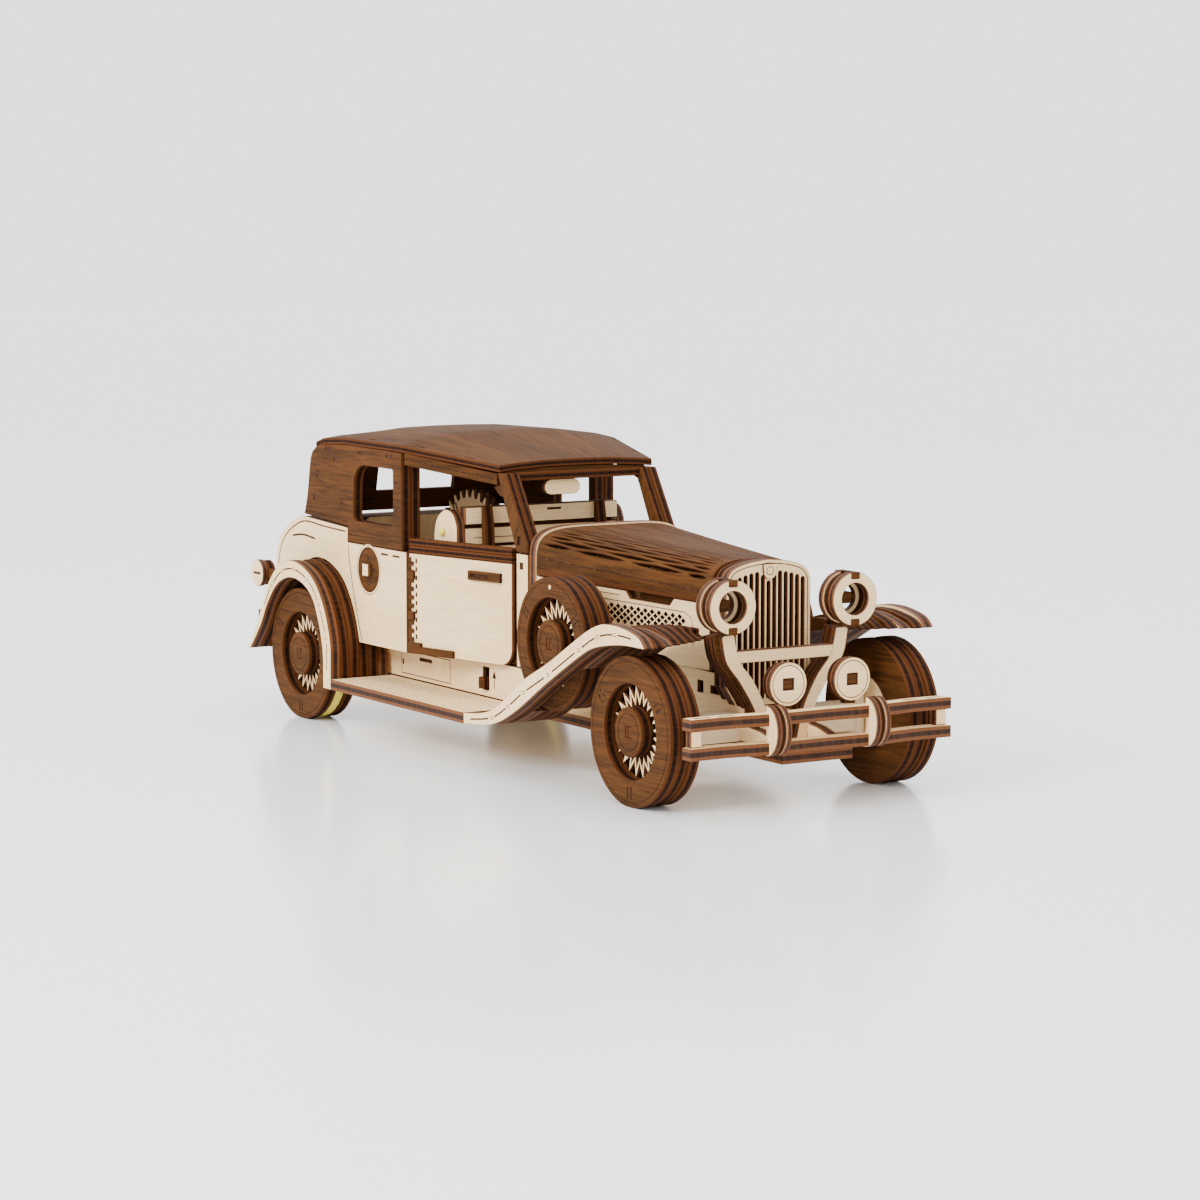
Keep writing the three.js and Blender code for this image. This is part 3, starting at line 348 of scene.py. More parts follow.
class Piece:
    """Closed shells of one finish that ride together; flip makes the left-hand twin of a right-hand one."""

    def __init__(self, name, finish, nodes=(), flip=False, body="root"):
        self.name, self.finish, self.flip, self.body = name, finish, flip, body
        self.nodes = (name,) if nodes == OWN else nodes
        self.mesh = bmesh.new()
        self.grain = self.mesh.loops.layers.uv.new("grain")
        self.cut = self.mesh.loops.layers.uv.new("cut")
        self.spots = {}

    def __enter__(self):
        return self

    def __exit__(self, kind, error, trace):
        if kind:
            return False
        mesh = bpy.data.meshes.new(self.name)
        self.mesh.to_mesh(mesh)
        self.mesh.free()
        mesh.shade_smooth()
        mesh.set_sharp_from_angle(angle=math.radians(SHARP_ANGLE))
        mesh.materials.append(self.finish["material"])
        mesh.materials.append(BURNT)
        piece = bpy.data.objects.new(self.name, mesh)
        bpy.context.scene.collection.objects.link(piece)
        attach(piece, self.body)
        if self.nodes:
            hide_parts(*self.nodes)
        return False

    def vert(self, place, spot):
        u, v, depth = spot
        point = place(u, v, depth)
        made = self.mesh.verts.new((point[0] * MM, (-point[1] if self.flip else point[1]) * MM,
                                    point[2] * MM))
        self.spots[made] = spot
        return made

    def face(self, corners, side, thick, turn, shift, material=0):
        made = self.mesh.faces.new(corners[::-1] if self.flip else corners)
        made.material_index = material
        cos, sin = math.cos(math.radians(turn)), math.sin(math.radians(turn))
        for loop in made.loops:
            u, v, depth = self.spots[loop.vert]
            loop[self.grain].uv = ((u * cos + v * sin) * GRAIN_SCALE + shift[0],
                                   (v * cos - u * sin) * GRAIN_SCALE + shift[1])
            loop[self.cut].uv = (depth / thick, side)

    def ply(self, outline, at=(0, 0, 0), across=X, up=Z, thick=PLY, holes=(), marks=(), turn=0, place=None,
            dots=(), chamfer=CHAMFER, engraved=ENGRAVED):
        """A sheet whose face looks along across x up; marks are engraved into that face, holes go through."""
        normal = across.cross(up).normalized()
        corner = Vector(at)
        place = place or (lambda u, v, depth: corner + across * u + up * v - normal * depth)
        shift = (seed.uniform(0, 60), seed.uniform(0, 60))
        style = (thick, turn, shift)
        loops = [wound(outline)] + [wound(hole, False) for hole in holes]
        rims = [offset(loop, chamfer) for loop in loops]
        levels = [(0, rims), (chamfer, loops), (thick - chamfer, loops), (thick, rims)]
        rings = [[[self.vert(place, (u, v, depth)) for u, v in loop] for loop in made] for depth,
                 made in levels]
        for upper, lower in zip(rings, rings[1:]):
            for top, bottom in zip(upper, lower):
                self.wall(top, bottom, style)
        groups = [[wound(loop, i % 2 == 1) for i, loop in enumerate(group)] for group in marks]
        brims = []
        for group in groups:
            top = [[self.vert(place, (u, v, 0)) for u, v in loop] for loop in group]
            floor = [[self.vert(place, (u, v, engraved)) for u, v in loop] for loop in group]
            for a, b in zip(top, floor):
                self.wall(a, b, style, 1)
            self.cap(floor, style, place, engraved, side=1, material=1)
            brims += top
        self.cap(rings[0] + brims, style, place, 0, dots)
        self.cap(rings[3], style, place, thick, dots, under=True)

    def wall(self, top, bottom, style, material=0):
        thick, turn, shift = style
        for i, corner in enumerate(top):
            j = (i + 1) % len(top)
            self.face([corner, bottom[i], bottom[j], top[j]], 1, thick, turn, shift, material)

    def cap(self, rings, style, place, depth, dots=(), under=False, side=0, material=0):
        thick, turn, shift = style
        corners = [vert for ring in rings for vert in ring]
        flat = [Vector(self.spots[vert][:2]) for vert in corners] + [Vector(dot) for dot in dots]
        edges, loops, start = [], [], 0
        for ring in rings:
            edges += [(start + i, start + (i + 1) % len(ring)) for i in range(len(ring))]
            start += len(ring)
            loop = [self.spots[vert][:2] for vert in ring]
            loops.append((loop, min(v for _, v in loop), max(v for _, v in loop), max(u for u, _ in loop)))
        points, _, faces, sources, _, _ = delaunay_2d_cdt(flat, edges, [], 2, 1e-6)
        made = {}
        for face in faces:
            a, b, c = (points[i] for i in face)
            middle = (a + b + c) / 3
            if abs((b - a).cross(c - a)) < 1e-9 or not inside(near(loops, *middle), *middle):
                continue
            for i in face:
                known = [k for k in sources[i] if k < len(corners)]
                if i not in made:
                    spot = (points[i].x, points[i].y, depth)
                    made[i] = corners[known[0]] if known else self.vert(place, spot)
            order = list(face) if (b - a).cross(c - a) > 0 else list(face)[::-1]
            around = [made[i] for i in (order[::-1] if under else order)]
            self.face(around, side, thick, turn, shift, material)


def put(name, finish, outline, nodes=(), flip=False, body="root", **how):
    """A piece of one sheet."""
    with Piece(name, finish, nodes, flip, body) as piece:
        piece.ply(outline, **how)


def both(name, finish, outline, nodes=(), **how):
    """A piece of one sheet on each side of the car."""
    for hand, flip in SIDES:
        put(f"{name}_{hand}", finish, outline, nodes, flip, **how)


SIDES = (("right", False), ("left", True))


def side_at(outer):
    """The place of an upright sheet on the right-hand side, outer from the middle."""
    return {"at": (0, -outer, 0), "across": X, "up": Z}


def level_at(top):
    return {"at": (0, 0, top), "across": X, "up": Y}


def front_at(x):
    return {"at": (x, 0, 0), "across": Y, "up": Z}


# ---- chassis, sills and boards

def chassis():
    outline = [(-148, -FLOOR_HALF), (90.5, -FLOOR_HALF), (102.5, -14), (160, -14), (160, 14), (102.5, 14),
               (90.5, FLOOR_HALF), (-148, FLOOR_HALF)]
    tabs = [[rect(x, x + 7, y - 1.6, y + 1.6)] for x in (-140, -60, -20, 20, 60) for y in (-22, 22)]
    slot = rect(REAR_AXLE - 16, REAR_AXLE + 16, -4, 4)
    put("chassis", BIRCH, outline, ["chassis_plate"], **level_at(BOARD), holes=[slot], marks=tabs)
    for hand, flip in SIDES:
        with Piece(f"chassis_rail_{hand}", BIRCH, flip=flip) as piece:
            rail = [(30.6, 19.4), (156, 19.4), (156, 21.5), (146, 24), (136.6, 25), (136.6, 31),
                    (122, 40.5), (96, 41), (30.6, 41)]
            squares = [rect(60, 63, 26, 30), rect(88, 92, 25, 29.4), rect(108, 111.4, 33, 37),
                       rect(116, 121, 33.4, 36)]
            piece.ply(rail, **side_at(13.2), holes=squares, marks=[[rect(40, 48, 24, 24.8)]])


def sills():
    outline = [(-117.5, 19.3), (TOE_X, 19.3), (TOE_X, SILL_TOP), (-101.5, SILL_TOP), (-101.5, 35),
               (-117.5, 35)]
    bore = circle(REAR_AXLE, AXLE_Z, 2.15, 24)
    slot = rect(-6.8, -2.2, 21.7, 29.9)
    arrow = [(1.2, 22.6), (1.8, 22.6), (1.8, 26.4), (3.1, 26.4), (1.5, 29.2), (-0.1, 26.4), (1.2, 26.4)]
    box_lid = band(rect(-69, -31, 20.6, 29.6), 0)
    for hand, flip in SIDES:
        marks = [box_lid, [pill(-55, -45, 26.6, 28.0)], [rect(-68.2, -67, 24, 26)]]
        holes = [bore]
        if hand == "right":
            marks.append([arrow])
            holes.append(slot)
        put(f"sill_{hand}", BIRCH, outline, OWN, flip, **side_at(SCUTTLE_HALF), holes=holes, marks=marks)
    with Piece("stop_lever", STAINED, OWN, body="stop_lever") as piece:
        knob = rect(-6.3, -2.7, 22.2, 26.4)
        piece.ply(knob, **side_at(33.7), thick=2.4)
        piece.ply(rect(-6.1, -2.9, 22.4, 26.2), **side_at(31.2), thick=3.6)


def running_boards():
    outline = rect(LEG_X + 0.3, TOE_X - 0.3, -GUARD_HALF, -31.8)
    rows = [[stroke([(x, y), (x + 22.2, y)], 0.28)] for y in (-53.5, -50.7, -47.9, -45.1, -42.3, -39.5, -36.7)
            for x in (-72.6, -48.6, -24.6, -0.6)]
    edge = [stroke([(-74.6, -55.9), (23.9, -55.9)], 0.3)]
    both("running_board", BIRCH, outline, OWN, **level_at(BOARD), marks=rows + [edge])


# ---- fenders

def front_fender_line(rise=0.0, nose=0.0):
    """Upper edge from the board to the nose, then lower edge back; rise thickens it, nose lengthens it."""
    def at(ahead, height):
        return (FRONT_AXLE + ahead, height)
    upper = spline([(TOE_X, BOARD), at(-84, 22.4 + rise), at(-62, 35.4 + rise), at(-45, 43.4 + rise),
                    at(-17.7, 57.6 + rise), at(-3.5, 60.1 + rise), at(10.5 + nose, 58.1 + rise),
                    at(15.4 + nose, 54.6)], 40)
    lower = spline([at(15 + nose, 54.1), at(1, 53.9), at(-15, 51.4), at(-26, 46.8), at(-48, 35),
                    at(-68, 23.5), at(-84, 17.2), (TOE_X, 15)], 36)
    return upper, lower


def pinned(line, count, width=0.6):
    """An engraved centre line broken by small oval pins."""
    step = (len(line) - 1) / count
    marks = []
    for k in range(count):
        first, last = round(k * step), round((k + 1) * step)
        marks.append([stroke(line[first + 1:last], width)])
        if k:
            x, z = line[first]
            marks.append([pill(x - 1.1, x + 1.1, z - 0.62, z + 0.62),
                          pill(x - 0.8, x + 0.8, z - 0.34, z + 0.34)])
    return marks


def front_fenders():
    layers = [(-0.9, 0.0, STAINED), (-1.6, -1.6, BIRCH), (-1.1, -3.2, STAINED), (-1.3, -5.2, STAINED),
              (-1.5, -7.0, STAINED), (-2.0, -9.6, STAINED), (-2.8, -12.4, STAINED)]
    upper, lower = front_fender_line()
    line = spline([(29, 17.1), (45.5, 19.6), (57, 25), (67.5, 31), (84, 39), (104, 49.6), (116, 55.2),
                   (127, 57), (138, 56.7)], 56)
    for hand, flip in SIDES:
        node = f"front_fender_{hand}"
        put(f"{node}_skin", BIRCH, upper + lower, [node], flip, **side_at(GUARD_HALF),
            marks=pinned(line, 8), turn=25)
        for k, (rise, nose, finish) in enumerate(layers):
            outer = GUARD_HALF - PLY_STEP * (k + 1)
            top, bottom = front_fender_line(rise, nose)
            with Piece(f"{node}_ply_{k + 1}", finish, flip=flip) as piece:
                if outer > 48.4 + PLY:
                    piece.ply(top + bottom, **side_at(outer), turn=20)
                    continue
                if outer < 34:
                    piece.ply([p for p in top + bottom if p[0] > 82], **side_at(outer), turn=20)
                    continue
                clear = [p for p in top + bottom if math.dist(p, (SPARE_X, SPARE_Z)) > SPARE_R + 1.2]
                ahead = [p for p in clear if p[0] > SPARE_X]
                behind = [p for p in clear if p[0] < SPARE_X]
                piece.ply(ahead, **side_at(outer), turn=20)
                piece.ply(behind, **side_at(outer), turn=5)


def round_wheel(stops):
    return [(REAR_AXLE + (AXLE_Z + out) * math.cos(math.radians(t)),
             AXLE_Z + (AXLE_Z + out) * math.sin(math.radians(t))) for t, out in stops]


def rear_fender_line(thinner=0.0, tail=0.0):
    outer = spline([(LEG_X, 23)] + round_wheel([(14, 8.8 - thinner), (36, 9.6 - thinner),
        (56, 10.9 - thinner), (75, 11.2 - thinner), (92, 11 - thinner), (107, 9.8 - thinner),
        (126, 7.1 - thinner), (145, 4.8 - thinner), (165, 6.2 - thinner)]) + [(-146.6 + tail, 23.5)], 54)
    inner = spline([(-144.9 + tail, 23.6)] + round_wheel([
        (162, 2.6), (139, 1.7), (115, 3.2), (93, 4.4), (72, 4.8), (52, 4.6), (30, 2.4), (8, 1.9)])
        + [(LEG_X - 6.2, 21)], 48)
    return [(LEG_X, 15)] + outer + inner + [(LEG_X - 6.2, 15)]


def rear_fenders():
    line = spline(round_wheel([(-8, 5.0), (14, 5.6), (36, 6.1), (56, 7.8), (75, 8.1), (92, 7.8), (107, 6.6),
                               (126, 4.5), (145, 3.2)]), 49)
    for hand, flip in SIDES:
        node = f"rear_fender_{hand}"
        put(f"{node}_skin", BIRCH, rear_fender_line(), [node], flip, **side_at(GUARD_HALF),
            marks=pinned(line, 7), turn=90)
        for k in range(5):
            finish = BIRCH if k == 4 else STAINED
            with Piece(f"{node}_ply_{k + 1}", finish, flip=flip) as piece:
                thinner = (0.7, 0.0, 0.9, 0.3, 1.2)[k]
                piece.ply(rear_fender_line(thinner, 1.2 * k % 3),
                          **side_at(GUARD_HALF - PLY_STEP * (k + 1)), turn=90)


# ---- body sides, tail and roof quarters


def quarter_panels():
    arch = [(REAR_AXLE + (x - REAR_AXLE) * 1.014, AXLE_Z + (z - AXLE_Z) * 1.014)
            for x, z in rear_fender_line()[1:56] if z > SILL_TOP + 1]
    tail = spline([(-121, 76.7), (-131, 74.2), (-139.5, 69.5), (-144, 63.5), (-146, 57.1), (-147, 45),
                   (-147, 33)], 18)
    outline = [(-75.9, SILL_TOP), (HINGE - 0.3, SILL_TOP), (HINGE - 0.3, BELT_LOW - 0.3),
               (-84.8, BELT_LOW - 0.3), (-84.8, BELT_TOP - 0.3)] + tail + arch[::-1]
    port = circle(WINDER_X, WINDER_Z, 8.4)
    rim = [circle(WINDER_X, WINDER_Z, 9.5), circle(WINDER_X, WINDER_Z, 9.2)]
    seam = [stroke([(-84.6, 68.9), (-83.6, 62.5), (-80.4, 51), (-75.4, 37), (-73.6, 33.2)], 0.6)]
    top_line = [stroke(spline([(-86.6, 73.4), (-104, 74), (-120, 74.8), (-130, 72), (-137.6, 67.6),
                               (-141.8, 62.2), (-143.6, 56)], 30), 0.6)]
    slit = [stroke(spline([(-112, 68.6), (-122, 69.4), (-131, 68.4)], 12), 0.8)]
    belt_tabs = [[rect(x, x + 5.5, 66.9, 67.7)] for x in (-58, -49)]
    both("quarter_panel", BIRCH, outline, OWN, **side_at(BODY_HALF), holes=[port],
         marks=[rim, seam, top_line, slit] + belt_tabs)


def folded(line, half, depth_way):
    """Places a sheet bent over a profile of (x, z) points: u runs across the car, v along the profile."""
    lengths = [0.0]
    for a, b in zip(line, line[1:]):
        lengths.append(lengths[-1] + math.dist(a, b))

    def place(u, v, depth):
        k = max(i for i in range(len(line) - 1) if lengths[i] <= v + 1e-6 or i == 0)
        t = (v - lengths[k]) / (lengths[k + 1] - lengths[k])
        (x0, z0), (x1, z1) = line[k], line[k + 1]
        return (x0 + (x1 - x0) * t + depth * depth_way[0], u, z0 + (z1 - z0) * t + depth * depth_way[1])

    outline = dense(rect(-half, half, 0, lengths[-1]), 3)
    dots = [(u, v) for u in range(-int(half) + 3, int(half) - 2, 6)
            for v in range(3, int(lengths[-1]) - 2, 3)]
    return outline, place, dots, lengths[-1]


def tail():
    line = spline([(-121, 76.6), (-131, 74.0), (-139.4, 69.2), (-143.8, 63.2), (-145.8, 57), (-146.6, 45),
                   (-146.8, 33.6)], 40)
    outline, place, dots, long = folded(line, PANEL_HALF, (0.86, -0.5))
    lid = band(dense(rect(-33, 33, 6, long - 10), 3), 0)
    catch = [dense(pill(-6, 6, 40, 41.6), 3)]
    put("trunk_skin", BIRCH, outline, OWN, across=-Y, up=-Z, thick=2.4, marks=[lid, catch], place=place,
        dots=dots, turn=0)
    back = spline([(-120, 78), (-118.2, 85.3), (-114.9, 98.9), (-111.6, 102.6)], 26)
    outline, place, dots, long = folded(back, PANEL_HALF, (1.0, -0.08))
    glass = dense([(-17, 8), (17, 8), (17, 18)] + arc(14, 18, 3, 0, 90, 4) + arc(-14, 18, 3, 90, 180, 4), 3)
    with Piece("rear_window_panel", STAINED, OWN) as piece:
        inside = [d for d in dots if not (abs(d[0]) < 19 and 6 < d[1] < 23)]
        piece.ply(outline, across=-Y, up=Z, thick=2.4, holes=[glass], place=place, dots=inside)


def roof_quarters():
    front = HINGE - PLY
    top = spline([(front, RAIL_TOP - 0.1), (-66, 106.0), (-87.7, 106.1), (-105.7, 105), (-111.7, 103.4),
                  (-115.3, 99.4), (-118.3, 85.3), (-121, 77.6)], 30)
    outline = [(front, BELT_LOW)] + top + [(-84.5, BELT_TOP + 0.3), (-84.5, BELT_LOW)]
    window = ([(-48.5, 79.2)] + [(-48.5, 98.5)] + [(-49.3, 99.3)] + arc(-71.7, 91.3, 8, 90, 180, 8)
              + [(-80.2, 81)] + arc(-77.7, 80.5, 2.5, 180, 270, 4) + [(-49.7, 78)])
    marks = [[rect(x, x + 5.5, 103.3, 104.5)] for x in (-103, -76, -54)]
    marks += [[rect(x, x + 2.6, z, z + 2.6)] for x, z in ((-96, 99), (-110, 92.5), (-113, 83.5), (-90, 83))]
    marks += [[stroke([(-84.5, 77.3), (-119.2, 79)], 0.35)], [stroke([(-42.4, 72.6), (-84.2, 72.6)], 0.4)],
              [rect(-47, -43.6, 84, 85.2)], [rect(-47, -43.6, 94, 95.2)]]
    for hand, flip in SIDES:
        put(f"roof_quarter_{hand}", STAINED, outline, OWN, flip, **side_at(BODY_HALF), holes=[window],
            marks=marks)
        with Piece(f"roof_quarter_lining_{hand}", STAINED, flip=flip) as piece:
            inner = [(front - 0.2, BELT_LOW + 0.2), (front - 0.2, 101.8), (-49.3, 101.8), (-49.3, 99.8),
                     (-47.2, 98.6), (-47.2, BELT_LOW + 0.2)]
            piece.ply(inner, **side_at(BODY_HALF - PLY_STEP), turn=90)


# ---- windshield, rails and roof

def windshield():
    pillar = [(18.2, 73.9), (25.7, 73.9), (25.7, 76.2), (10.1, 101.0), (4.9, 101.0)]
    inner = [(19.4, 73.9), (25.7, 73.9), (25.7, 75.4), (9.4, 101.0), (5.2, 101.0)]
    tab = [rect(18.9, 21.7, 76.2, 79.4)]
    put("windshield_header", STAINED, [(3.4, -25.4), (8.9, -25.4), (8.9, 25.4), (3.4, 25.4)],
        ["windshield_frame"], **level_at(101.0), thick=2.9, turn=90)
    for hand, flip in SIDES:
        with Piece(f"windshield_pillar_{hand}", STAINED, flip=flip) as piece:
            piece.ply(pillar, **side_at(31.9), thick=3.1, marks=[tab], engraved=0.8, turn=60)
            piece.ply(inner, **side_at(28.7), thick=3.1, turn=60)
            piece.ply([(4.0, 96.4), (7.1, 96.4), (9.2, 92.4), (5.4, 92.9), (1.5, 95.6)], **side_at(31.4),
                      thick=2.2)
    put("visor", BIRCH, pill(-13.4, 1.8, 92.4, 97.9), **front_at(6.6), thick=2.0)


def roof_rails():
    start, end = HINGE - 3.7, 2.5
    turn = math.atan2(RAIL_TAPER, end - start + 3)
    along = Vector((math.cos(turn), math.sin(turn), 0))
    long = math.hypot(end - start, RAIL_TAPER) - 1.5
    outline = [(1.5, RAIL_TOP - 4.4), (long + 3.2, HEADER_TOP - 4.2), (long + 3.2, HEADER_TOP - 0.2),
               (1.5, RAIL_TOP)]
    marks = [[stroke([(2.5, RAIL_TOP - 2.3), (long + 2.2, HEADER_TOP - 2.2)], 0.5)]]
    both("roof_rail", STAINED, outline, OWN, at=(start, -BODY_HALF, 0), across=along, up=Z, marks=marks)


ROOF_STATIONS = [(-110.7, 45.8, 106.0, 0.8), (-103.7, 45.8, 107.9, 2.0), (-87.7, 45.8, 108.8, 3.4),
                 (-42, 45.8, 108.5, 4.6), (7, 32.1, 103.8, 1.4)]
ROOF_SECTION = [(0, 1), (0.15, 1), (0.45, 0.9), (0.82, 0.42), (1, 0)]


def blend_rows(rows, at):
    """The row of values between two stations, the first value being the station."""
    k = max(i for i in range(len(rows) - 1) if rows[i][0] <= at + 1e-6 or i == 0)
    t = (at - rows[k][0]) / (rows[k + 1][0] - rows[k][0])
    return [a + (b - a) * t for a, b in zip(rows[k], rows[k + 1])]


def roof():
    def place(u, v, depth):
        _, half, edge, crown = blend_rows(ROOF_STATIONS, u)
        share = v / BODY_HALF
        rise = blend_rows(ROOF_SECTION, abs(share))[1]
        return (u, half * share, edge + crown * rise - depth)

    def sheet(x0, x1, v0, v1):
        return dense(rect(x0, x1, v0, v1), 3)

    rows = (0, 6.87, 13.7, 20.61, 29, 37.56, 41)
    dots = [(x, s * v) for x in (-107.7, -103.7, -96, -87.7, -78, -69, -60, -51, -42, -34, -26, -18, -10, -2)
            for v in rows for s in ((-1, 1) if v else (1,))]
    marks = [[sheet(x, x + 5, s * 43.6 - 0.5, s * 43.6 + 0.5)] for x in (-95, -70, -37, -12) for s in (-1, 1)]
    put("roof_panel", STAINED, sheet(-110.6, 6.9, -45.7, 45.7), OWN, thick=2.5, place=place, dots=dots,
        marks=marks, across=X, up=Y)
    front = mirrored([(0, 102.5), (14, 102.3), (26, 101.6), (29.5, 101.2), (28, 98.2), (0, 98.2)])
    back = mirrored([(0, 105.2), (20, 105.1), (36, 104.5), (41, 104.0), (41, 98.4), (0, 98.4)])
    with Piece("roof_formers", STAINED) as piece:
        piece.ply(front, **front_at(6.2), thick=3.6)
        piece.ply(back, **front_at(-105.8), thick=3.2)


# ---- hood, scuttle and grille

HOOD_BACK, HOOD_FRONT, SKIN = 30.3, 122.3, 2.2


def hood_at(x):
    t = (x - HOOD_BACK) / (HOOD_FRONT - HOOD_BACK)
    half, power, crown = 30.7 + (17.8 - 30.7) * t, 0.42 + 0.18 * t, 9 - 3.5 * t
    edge, ridge = 66.6 + (64.5 - 66.6) * t, 83 + (78.8 - 83) * t
    return half, power, edge, ridge, math.asin((crown / half) ** (1 / power)), math.asin(
        ((crown + 0.3) / half) ** (1 / power))


def skin_point(x, turn, depth):
    half, power, edge, ridge = hood_at(x)[:4]
    sweep = max(math.sin(turn), 1e-9) ** power
    fall = max(math.cos(turn), 1e-9) ** power
    return (x, -(half - depth) * sweep, edge + (ridge - depth - edge) * fall)


def lens(u, v, long, wide):
    """A slit pointed at both ends."""
    upper = [(u + long * (i / 6 - 0.5), v + wide * math.sin(math.pi * i / 6)) for i in range(7)]
    return upper + [(a, 2 * v - b) for a, b in reversed(upper[1:-1])]


def hood():
    full = 30.0

    def flank(u, v, depth):
        seam = hood_at(u)[5]
        return skin_point(u, seam + (math.pi / 2 - 1e-6 - seam) * (v / full) ** 1.5, depth)

    slits = []
    for row in range(10):
        shift = 15 if row % 2 else 0
        for u in range(19, 150, 30):
            first, last = max(u + shift - 13.8, 32.6), min(u + shift + 13.8, 119.8)
            if last - first > 6:
                slits.append(lens((first + last) / 2, 2.0 + row * 2.45, last - first, 0.2 + 0.085 * row))
    border = [dense(stroke([(32, 28.6), (120.5, 28.6)], 0.3), 3)]
    outline = dense(rect(HOOD_BACK, HOOD_FRONT, 0, full), 1.5)
    dots = [(x, v + 0.7) for x in range(33, 121, 5) for v in (1, 26)]
    for hand, flip in SIDES:
        put(f"hood_flank_{hand}", STAINED, outline, OWN, flip, body=f"hood_flank_{hand}", thick=SKIN,
            place=flank, holes=slits, dots=dots, marks=[border], chamfer=0.12, across=X, up=-Z)
        side_turn = math.atan2(HOOD_TAPER, HOOD_RUN)
        across = Vector((math.cos(side_turn), math.sin(side_turn), 0))
        long = math.hypot(HOOD_RUN, HOOD_TAPER)
        wall = [(0, 42), (long, 42), (long, 64.1), (74.6, 64.6), (72.4, 62.1), (51.4, 62.6), (49.2, 65.1),
                (0, 66.2)]
        diamonds = [[[(u, w + 1.0), (u - 1.3, w), (u, w - 1.0), (u + 1.3, w)]]
                    for row in range(5) for u in [38 + 3.6 * i + (1.8 if row % 2 else 0) for i in range(12)]
                    for w in [59.7 - 1.25 * row - (u - 38) * 0.024]]
        frame_line = [stroke([(34, 61.6), (80, 60.5), (83.4, 58.9), (84.4, 56), (84.4, 49)], 0.3)]
        lower_line = [stroke([(2, 64.4), (46, 63.4)], 0.3)]
        put(f"hood_side_{hand}", BIRCH, wall, OWN, flip, at=(HOOD_BACK, -30.7, 0), across=across, up=Z,
            engraved=1.4, marks=diamonds + [frame_line, lower_line])
        put(f"hood_rest_{hand}", STAINED, [(50, 60), (74, 60), (72, 65.4), (52, 65.9)], flip=flip,
            at=(HOOD_BACK, -26.5, 0), across=across, up=Z, thick=1.6)

    def crown(u, v, depth):
        turn = hood_at(u)[4] * abs(v) / 9
        x, y, z = skin_point(u, turn, depth)
        return (x, y * (-1 if v > 0 else 1), z)

    strip = dense(rect(HOOD_BACK, HOOD_FRONT, -9, 9), 1.5)
    ridge = [(x, v) for x in range(33, 121, 3) for v in (-6, -3, 0, 3, 6)]
    put("hood_crown", STAINED, strip, OWN, thick=SKIN, place=crown, dots=ridge, across=X, up=Y)


def scuttle():
    arch = [(skin_point(HOOD_BACK, math.pi / 2 * (i / 24) ** 1.3, 0)[1:]) for i in range(25)]
    half = [(-y + 0.4 if i else 0, z + 0.6) for i, (y, z) in enumerate(arch)]
    right = [(31.1, SILL_TOP), (FLOOR_HALF, SILL_TOP), (FLOOR_HALF, 19.3)]
    outline = mirrored(half + right)
    put("scuttle_arch", BIRCH, outline, OWN, **front_at(30.0), turn=90)
    post = [(17.8, 32.6), (25.7, 32.6), (25.7, 73.2), (17.8, 73.2)]
    both("scuttle_post", BIRCH, post, OWN, **side_at(SCUTTLE_HALF), marks=[[rect(19.9, 22.5, 67.6, 70.2)]],
         turn=90)


def arch_of(half, low, top):
    right = [(half - 5, low), (half, low + 8), (half, top - 7)] + spline(
        [(half, top - 7), (half * 0.86, top - 3.2), (half * 0.5, top - 1), (0, top)], 14)[1:-1]
    return mirrored([(0, low)] + right + [(0, top)])


def grille():
    shell = arch_of(17, 29, NOSE_TOP)
    slats = []
    for k in range(-6, 7):
        y = k * 2.3
        top = 75.4 - 0.014 * y * y - (3.4 if abs(y) < 1 else 1.4 if abs(y) < 3 else 0)
        low = 32.4 + max(0, abs(y) - 9.5) * 1.6
        slats.append(pill(y - 0.72, y + 0.72, low, top, 4))
    border = band(shell, 1.1)
    badge = [(-2.7, 77.7), (-2.5, 75)] + arc(0, 75, 2.5, 180, 360, 10) + [(2.7, 77.7)]
    put("grille_shell", BIRCH, shell, OWN, **front_at(GRILLE_X), thick=3.9, holes=slats, marks=[border],
        turn=90)
    put("grille_badge", BIRCH, badge, **front_at(131.8), thick=0.8,
        marks=[[circle(0, 75.4, 1.5, 24), circle(0, 75.4, 1.2, 24)]])
    put("grille_core", STAINED, arch_of(16.2, 29, NOSE_TOP - 0.2), OWN, **front_at(126.6), thick=3.9, turn=90)


# ---- lamps and bumpers

def notched_ring(y, z, outer, inner):
    """A ring with square notches at its top and foot for the clips."""
    gap = math.degrees(math.asin(1.6 / outer))
    loop = arc(y, z, outer, -90 + gap, 90 - gap, 26) + [(y + 1.6, z + outer - 2.2),
        (y - 1.6, z + outer - 2.2)]
    loop += arc(y, z, outer, 90 + gap, 270 - gap, 26) + [(y - 1.6, z - outer + 2.2),
        (y + 1.6, z - outer + 2.2)]
    return loop, circle(y, z, inner, 36)


